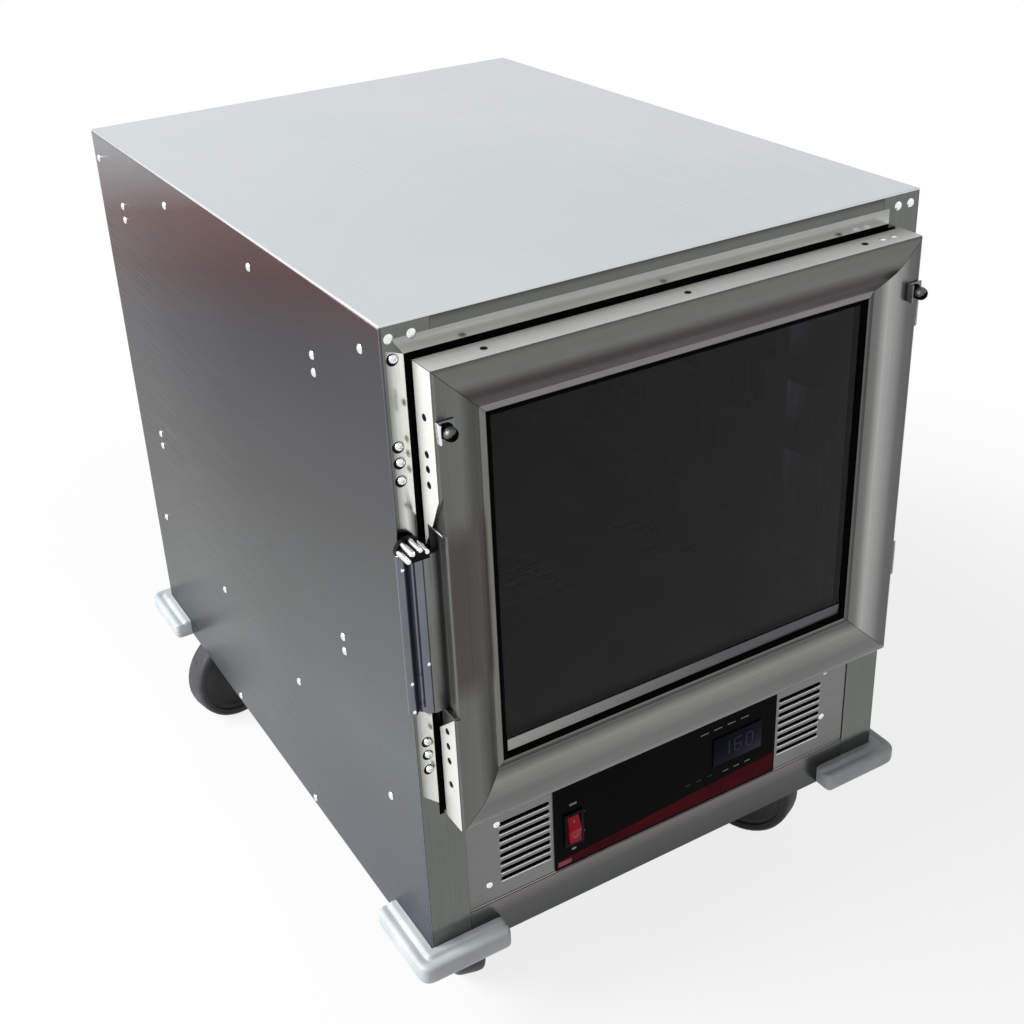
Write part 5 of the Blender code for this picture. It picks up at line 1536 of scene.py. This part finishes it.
@dataclass
class Bumpers(SubAssembly):
    """The moulded corner bumpers, with two ridges along their upper side."""

    reach: float = 0.021
    leg: float = 0.076
    drop: float = 0.002
    lip: float = 0.022
    gap: float = 0.0003
    # the section's round edge below, outer ridge, groove and inner ridge
    foot: float = 0.006
    ridge: float = 0.0045
    ridge_drop: float = 0.0065
    groove: float = 0.0016
    groove_in: float = 0.0098
    groove_drop: float = 0.0018
    inner_ridge: float = 0.0038
    inner_out: float = 0.0058
    wall_drop: float = 0.0004
    # the power of the rounded square that the corner follows, where 2 would be a quarter circle
    square: int = 4
    corner_steps: int = 10
    # the rounded tip of a leg: its length, its steps, and how much smaller its end is
    tip: float = 0.006
    tip_steps: int = 4
    tip_taper: float = 0.175

    def build(self) -> None:
        """Builds the four bumpers from one shape."""
        low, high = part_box("left_outer_panel")[0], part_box("right_outer_panel")[1]
        middle = Matrix.Translation(((low.x + high.x) / 2, (low.y + high.y) / 2, low.z))
        half = Matrix.Translation(((low.x - high.x) / 2, (low.y - high.y) / 2, 0.0))
        for name, flip in (
            ("front_left", (1, 1)),
            ("front_right", (-1, 1)),
            ("rear_left", (1, -1)),
            ("rear_right", (-1, -1)),
        ):
            place = middle @ Matrix.Diagonal((*flip, 1, 1)) @ half
            piece = Piece(f"bumper_{name}", "cabinet", "grey_rubber")
            piece.put(self.moulding(), BUMPER_RUBBER, place).make(f"corner_bumper_{name}")

    def section(self) -> list[Spot]:
        """The section as (distance out from the body, height): round below, two ridges above."""
        out, top, inner = self.reach, self.lip, self.inner_ridge
        return [
            (self.gap, -self.drop),
            *arc((out - self.foot, self.foot - self.drop), self.foot, -90, 0, 4),
            *arc((out - self.ridge, top - self.ridge_drop), self.ridge, 0, 120, 5),
            *arc((out - self.groove_in, top - self.groove_drop), self.groove, -60, -120, 2),
            *arc((self.inner_out, top - inner), inner, 30, 110, 4),
            (self.gap, top - self.wall_drop),
        ]

    def moulding(self) -> BMesh:
        """The front left bumper: its section along one leg, round the corner and along the other leg."""
        shape = bmesh.new()
        ring = [shape.verts.new((-out, 0.0, height)) for out, height in self.section()]
        lines = [shape.edges.new(pair) for pair in zip(ring, ring[1:] + ring[:1])]
        turn = bmesh.ops.spin(
            shape, geom=ring + lines, cent=(0, 0, 0), axis=UP, angle=math.pi / 2, steps=self.corner_steps
        )["geom_last"]
        last = [item for item in turn if isinstance(item, BMEdge)]
        for vert in shape.verts:
            x, y, power = vert.co.x, vert.co.y, self.square
            vert.co.xy *= vert.co.xy.length / (x**power + y**power) ** (1 / power)
        self.draw_leg(shape, lines, Vector((0.0, 1.0, 0.0)))
        self.draw_leg(shape, last, Vector((1.0, 0.0, 0.0)))
        return shape

    def draw_leg(self, shape: BMesh, edges: list[BMEdge], along: Vector) -> None:
        """Draws a leg out from an end of the corner and rounds its tip.

        Args:
            shape: The bumper.
            edges: The ring of edges at the end of the corner.
            along: The direction of the leg.
        """
        done = 0.0
        for step in range(self.tip_steps + 1):
            angle = step / self.tip_steps * math.pi / 2
            goal = self.leg - self.tip + self.tip * math.sin(angle)
            drawn = bmesh.ops.extrude_edge_only(shape, edges=edges)["geom"]
            edges = [item for item in drawn if isinstance(item, BMEdge) and len(item.link_faces) == 1]
            verts = list({v for e in edges for v in e.verts})
            bmesh.ops.translate(shape, verts=verts, vec=along * (goal - done))
            done = goal
            if step:
                middle = sum((v.co for v in verts), Vector()) / len(verts)
                body = Vector((middle.x if along.x else 0.0, middle.y if along.y else 0.0, middle.z))
                size = 1 - self.tip_taper * (1 - math.cos(angle))
                keep = Matrix.Translation(body) @ Matrix.Scale(size, 4) @ Matrix.Translation(-body)
                bmesh.ops.transform(shape, matrix=keep, verts=verts)
        bmesh.ops.edgenet_fill(shape, edges=edges)


@dataclass
class Casters(SubAssembly):
    """The four swivel casters: tyre, hub, axle nuts, dust ring and plate bolts."""

    # the wheel, the tyre's half section as (radius, height) from its rim and its tread, and the hub's
    radius: float = 0.0635
    half_width: float = 0.016
    rim: float = 0.0535
    tyre_foot: Spots = ((0.0, -0.0045), (0.001, -0.0022))
    tyre_tread: Spots = ((-0.0045, -0.0005), (-0.0022, -0.0014), (-0.0008, -0.0036), (0.0, -0.0080))
    hub: Spots = (
        (0.0064, 0.0156), (0.0155, 0.0156), (0.0175, 0.0136), (0.0185, 0.0095), (0.0205, 0.0085),
        (0.0445, 0.0085), (0.0475, 0.0105), (0.0495, 0.0110), (0.0539, 0.0112),
    )
    tyre_steps: int = 48
    hub_steps: int = 40
    # the axle's ends, with (radius, height) of their washers and nuts
    yoke: float = 0.006
    washer: Spot = (0.0115, 0.0009)
    nut: Spot = (0.0095, 0.0045)
    # the dust ring under the plate as (radius, height)
    ring_drop: float = 0.0004
    ring: Spots = (
        (0.0302, -0.0035), (0.0318, -0.0035), (0.0322, 0.0), (0.0312, 0.0022), (0.0285, 0.0030),
        (0.0285, 0.0004), (0.0302, 0.0002), (0.0302, -0.0035),
    )
    # (radius, height) of the plate's bolts, their distance in from its edges, and the plate's thickness
    bolt: Spot = (0.0065, 0.0045)
    bolt_inset: float = 0.009
    plate: float = 0.004

    def build(self) -> None:
        """Builds each caster's pieces and dresses its plate and yoke."""
        for corner in ("front_left", "front_right", "rear_left", "rear_right"):
            hub, axle = self.joint(f"roll_{corner}")
            self.build_wheel(corner, stand(hub, axle))
            self.build_nuts(corner, hub, axle)
            low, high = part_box(f"caster_plate_{corner}")
            inset, under = self.bolt_inset, high.z - self.plate
            across, deep = ((a + inset, b - inset) for a, b in ((low.x, high.x), (low.y, high.y)))
            bolts = Piece(f"plate_bolts_{corner}", "cabinet", "zinc_steel")
            feet = [(x, y, under) for x in across for y in deep]
            bolts.fix(Head.HEX, self.bolt, ZINC, Facing.BELOW, feet).make()
            self.dress(ZINC, f"caster_plate_{corner}", f"caster_yoke_{corner}")

    def build_wheel(self, corner: str, place: Matrix) -> None:
        """A tyre with rounded shoulders on a hub with a recessed web.

        Args:
            corner: Which caster it is.
            place: Its middle and the way of its axle.
        """
        wide = self.half_width
        tyre = [(self.rim + a, wide + b) for a, b in self.tyre_foot]
        tyre += [(self.radius + a, wide + b) for a, b in self.tyre_tread]
        piece = Piece(f"wheel_{corner}", f"wheel_{corner}", "caster_tyre")
        for side, steps, look in (
            (tyre, self.tyre_steps, TYRE_RUBBER),
            (self.hub, self.hub_steps, HUB_PLASTIC),
        ):
            mirrored = [(a, -b) for a, b in reversed(side)]
            piece.put(turned([*side, *mirrored, side[0]], steps), look, place)
        piece.make(f"caster_wheel_{corner}")

    def build_nuts(self, corner: str, hub: Vector, axle: Vector) -> None:
        """A washer and a nut on each end of the axle, and a dust ring under the plate.

        Args:
            corner: Which caster it is.
            hub: The middle of the wheel.
            axle: The way of its axle.
        """
        piece = Piece(f"axle_nuts_{corner}", f"swivel_{corner}", "zinc_steel")
        wide, thick = self.washer
        for way in (axle, -axle):
            foot = hub + way * (self.half_width + self.yoke + HAIR)
            washer = [(0.0, 0.0), (wide, 0.0), (wide, thick), (0.0, thick)]
            piece.put(turned(washer, steps=20), ZINC, stand(foot, way))
            piece.put(Head.HEX.shape(*self.nut), ZINC, stand(foot + way * thick, way))
        low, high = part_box(f"caster_plate_{corner}")
        middle = ((low.x + high.x) / 2, (low.y + high.y) / 2, low.z - self.ring_drop)
        piece.put(turned(self.ring, steps=28), DARK_STEEL, Matrix.Translation(middle)).make()


@dataclass
class Chamber(SubAssembly):
    """The lined chamber with its pan racks."""

    # (radius, height) of the racks' rivets, how far in from the wall they sit, and their places
    rivet: Spot = (0.0032, 0.0014)
    upright: float = 0.010
    depths: Spot = (-0.21775, 0.29975)
    rises: tuple[float, ...] = (0.035, 0.111, 0.187, 0.264, 0.340)
    top_drop: float = 0.015

    def build(self) -> None:
        """Dresses the liner and the racks, and rivets the racks to the walls."""
        self.dress(MILL, "left_liner", "right_liner", "back_liner", "ceiling_liner", "chamber_floor")
        for side, facing in (("left", Facing.RIGHT), ("right", Facing.LEFT)):
            self.dress(MILL, f"{side}_pan_rack")
            low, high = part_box(f"{side}_pan_rack")
            x = (low.x if side == "left" else high.x) + facing.value[0] * self.upright
            heights = [*(low.z + rise for rise in self.rises), high.z - self.top_drop]
            rivets = Piece(f"{side}_rack_rivets", "cabinet", "polished_aluminium")
            feet = [(x, y, z) for y in self.depths for z in heights]
            rivets.fix(Head.RIVET, self.rivet, BRIGHT_HEAD_AND_HIGHLIGHT, facing, feet).make()


@dataclass
class Studio:
    """The floor, the soft light and the camera at the photograph's place."""

    floor_size: float = 14.0
    floor_drop: float = 0.0002
    # the room's light on the object, how white the floor is to the eye near it, and where it turns white
    room: float = 0.21
    white: float = 0.82
    fade: Spot = (0.6, 1.5)
    # the lamps' places, sizes and powers, and where they point
    lamps: tuple[tuple[str, Place, float, float], ...] = (
        ("key", (-2.7, 0.35, 2.3), 2.2, 215.0),
        ("fill", (2.4, -2.0, 2.2), 2.4, 3.0),
    )
    aim: Place = (0.0, 0.0, 0.4)
    lens: float = 50.475
    sensor: float = 36.0
    shift: Spot = (0.0255, -0.0653)
    eye: Place = (-0.687392, -1.259459, 1.183201)
    right: Place = (0.86280, -0.50332, -0.04729)
    up: Place = (0.26516, 0.37093, 0.88999)
    back: Place = (-0.43042, -0.78043, 0.45350)

    def build(self) -> None:
        """Sets up the view, the world, the floor, the lamps and the camera."""
        bpy.context.scene.view_settings.view_transform = "Standard"
        self.build_world()
        self.build_floor()
        self.build_lamps()
        self.build_camera()

    def seen(self, nodes: Nodes) -> Socket:
        """Gives 1 where the camera, metal or glass looks at a material, and 0 where it only gives light."""
        rays = nodes.add("LightPath", {}).node.outputs
        kinds = ("Is Camera Ray", "Is Glossy Ray", "Is Transmission Ray")
        return reduce(partial(nodes.math, "MAXIMUM"), [rays[kind] for kind in kinds])

    def build_world(self) -> None:
        """An even pale room that the camera, metal and glass see as white."""
        world = bpy.data.worlds.new("studio")
        bpy.context.scene.world = world
        world.use_nodes = True
        nodes = Nodes(world.node_tree, "Background")
        level = nodes.remap(self.seen(nodes), (0.0, 1.0), (self.room, 1.0))
        nodes.shade({"Color": WHITE, "Strength": level})

    def build_floor(self) -> None:
        """A wide floor that keeps a soft shadow near the object and fades to white further out."""
        shape = bmesh.new()
        bmesh.ops.create_grid(shape, x_segments=1, y_segments=1, size=self.floor_size / 2)
        mesh = bpy.data.meshes.new("studio_floor")
        shape.to_mesh(mesh)
        shape.free()
        paper = FLOOR_PAPER.material()
        nodes = Nodes(paper.node_tree)
        away = nodes.add("VectorMath", {0: nodes.place()}, "Value", operation="LENGTH")
        level = nodes.remap(away, self.fade, (self.white, 1.0), interpolation_type="SMOOTHSTEP")
        share = nodes.math("MULTIPLY", self.seen(nodes), level)
        glow = nodes.add("Emission", {"Color": WHITE, "Strength": 1.0})
        both = nodes.add("MixShader", {0: share, 1: nodes.shader.outputs[0], 2: glow})
        nodes.feed(nodes.tree.nodes["Material Output"], {"Surface": both})
        mesh.materials.append(paper)
        floor = bpy.data.objects.new("studio_floor", mesh)
        floor.location = (0.0, 0.0, -self.floor_drop)
        bpy.context.scene.collection.objects.link(floor)

    def build_lamps(self) -> None:
        """A large soft key from above on the left, and a weaker fill from the right."""
        for name, place, size, power in self.lamps:
            lamp = bpy.data.lights.new(name, "AREA")
            lamp.size, lamp.energy = size, power
            made = bpy.data.objects.new(name, lamp)
            made.location = place
            made.rotation_euler = (Vector(self.aim) - Vector(place)).to_track_quat("-Z", "Y").to_euler()
            bpy.context.scene.collection.objects.link(made)

    def build_camera(self) -> None:
        """The camera, from the solved place and directions."""
        lens = bpy.data.cameras.new("camera")
        lens.lens, lens.sensor_width = self.lens, self.sensor
        lens.shift_x, lens.shift_y = self.shift
        camera = bpy.data.objects.new("camera", lens)
        axes = Matrix((self.right, self.up, self.back)).transposed().to_4x4()
        camera.matrix_world = Matrix.Translation(self.eye) @ axes
        bpy.context.scene.collection.objects.link(camera)
        bpy.context.scene.camera = camera


def main() -> None:
    """Loads the model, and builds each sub-assembly and the studio."""
    logging.basicConfig(level=logging.INFO, format="%(message)s")
    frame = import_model()
    for kind in (CabinetBody, Door, Latch, Hinges, ControlModule, Bumpers, Casters, Chamber):
        LOG.info("== %s", kind.__name__)
        kind(frame).build()
    Studio().build()
    bpy.context.view_layer.update()


if __name__ == "__main__":
    main()
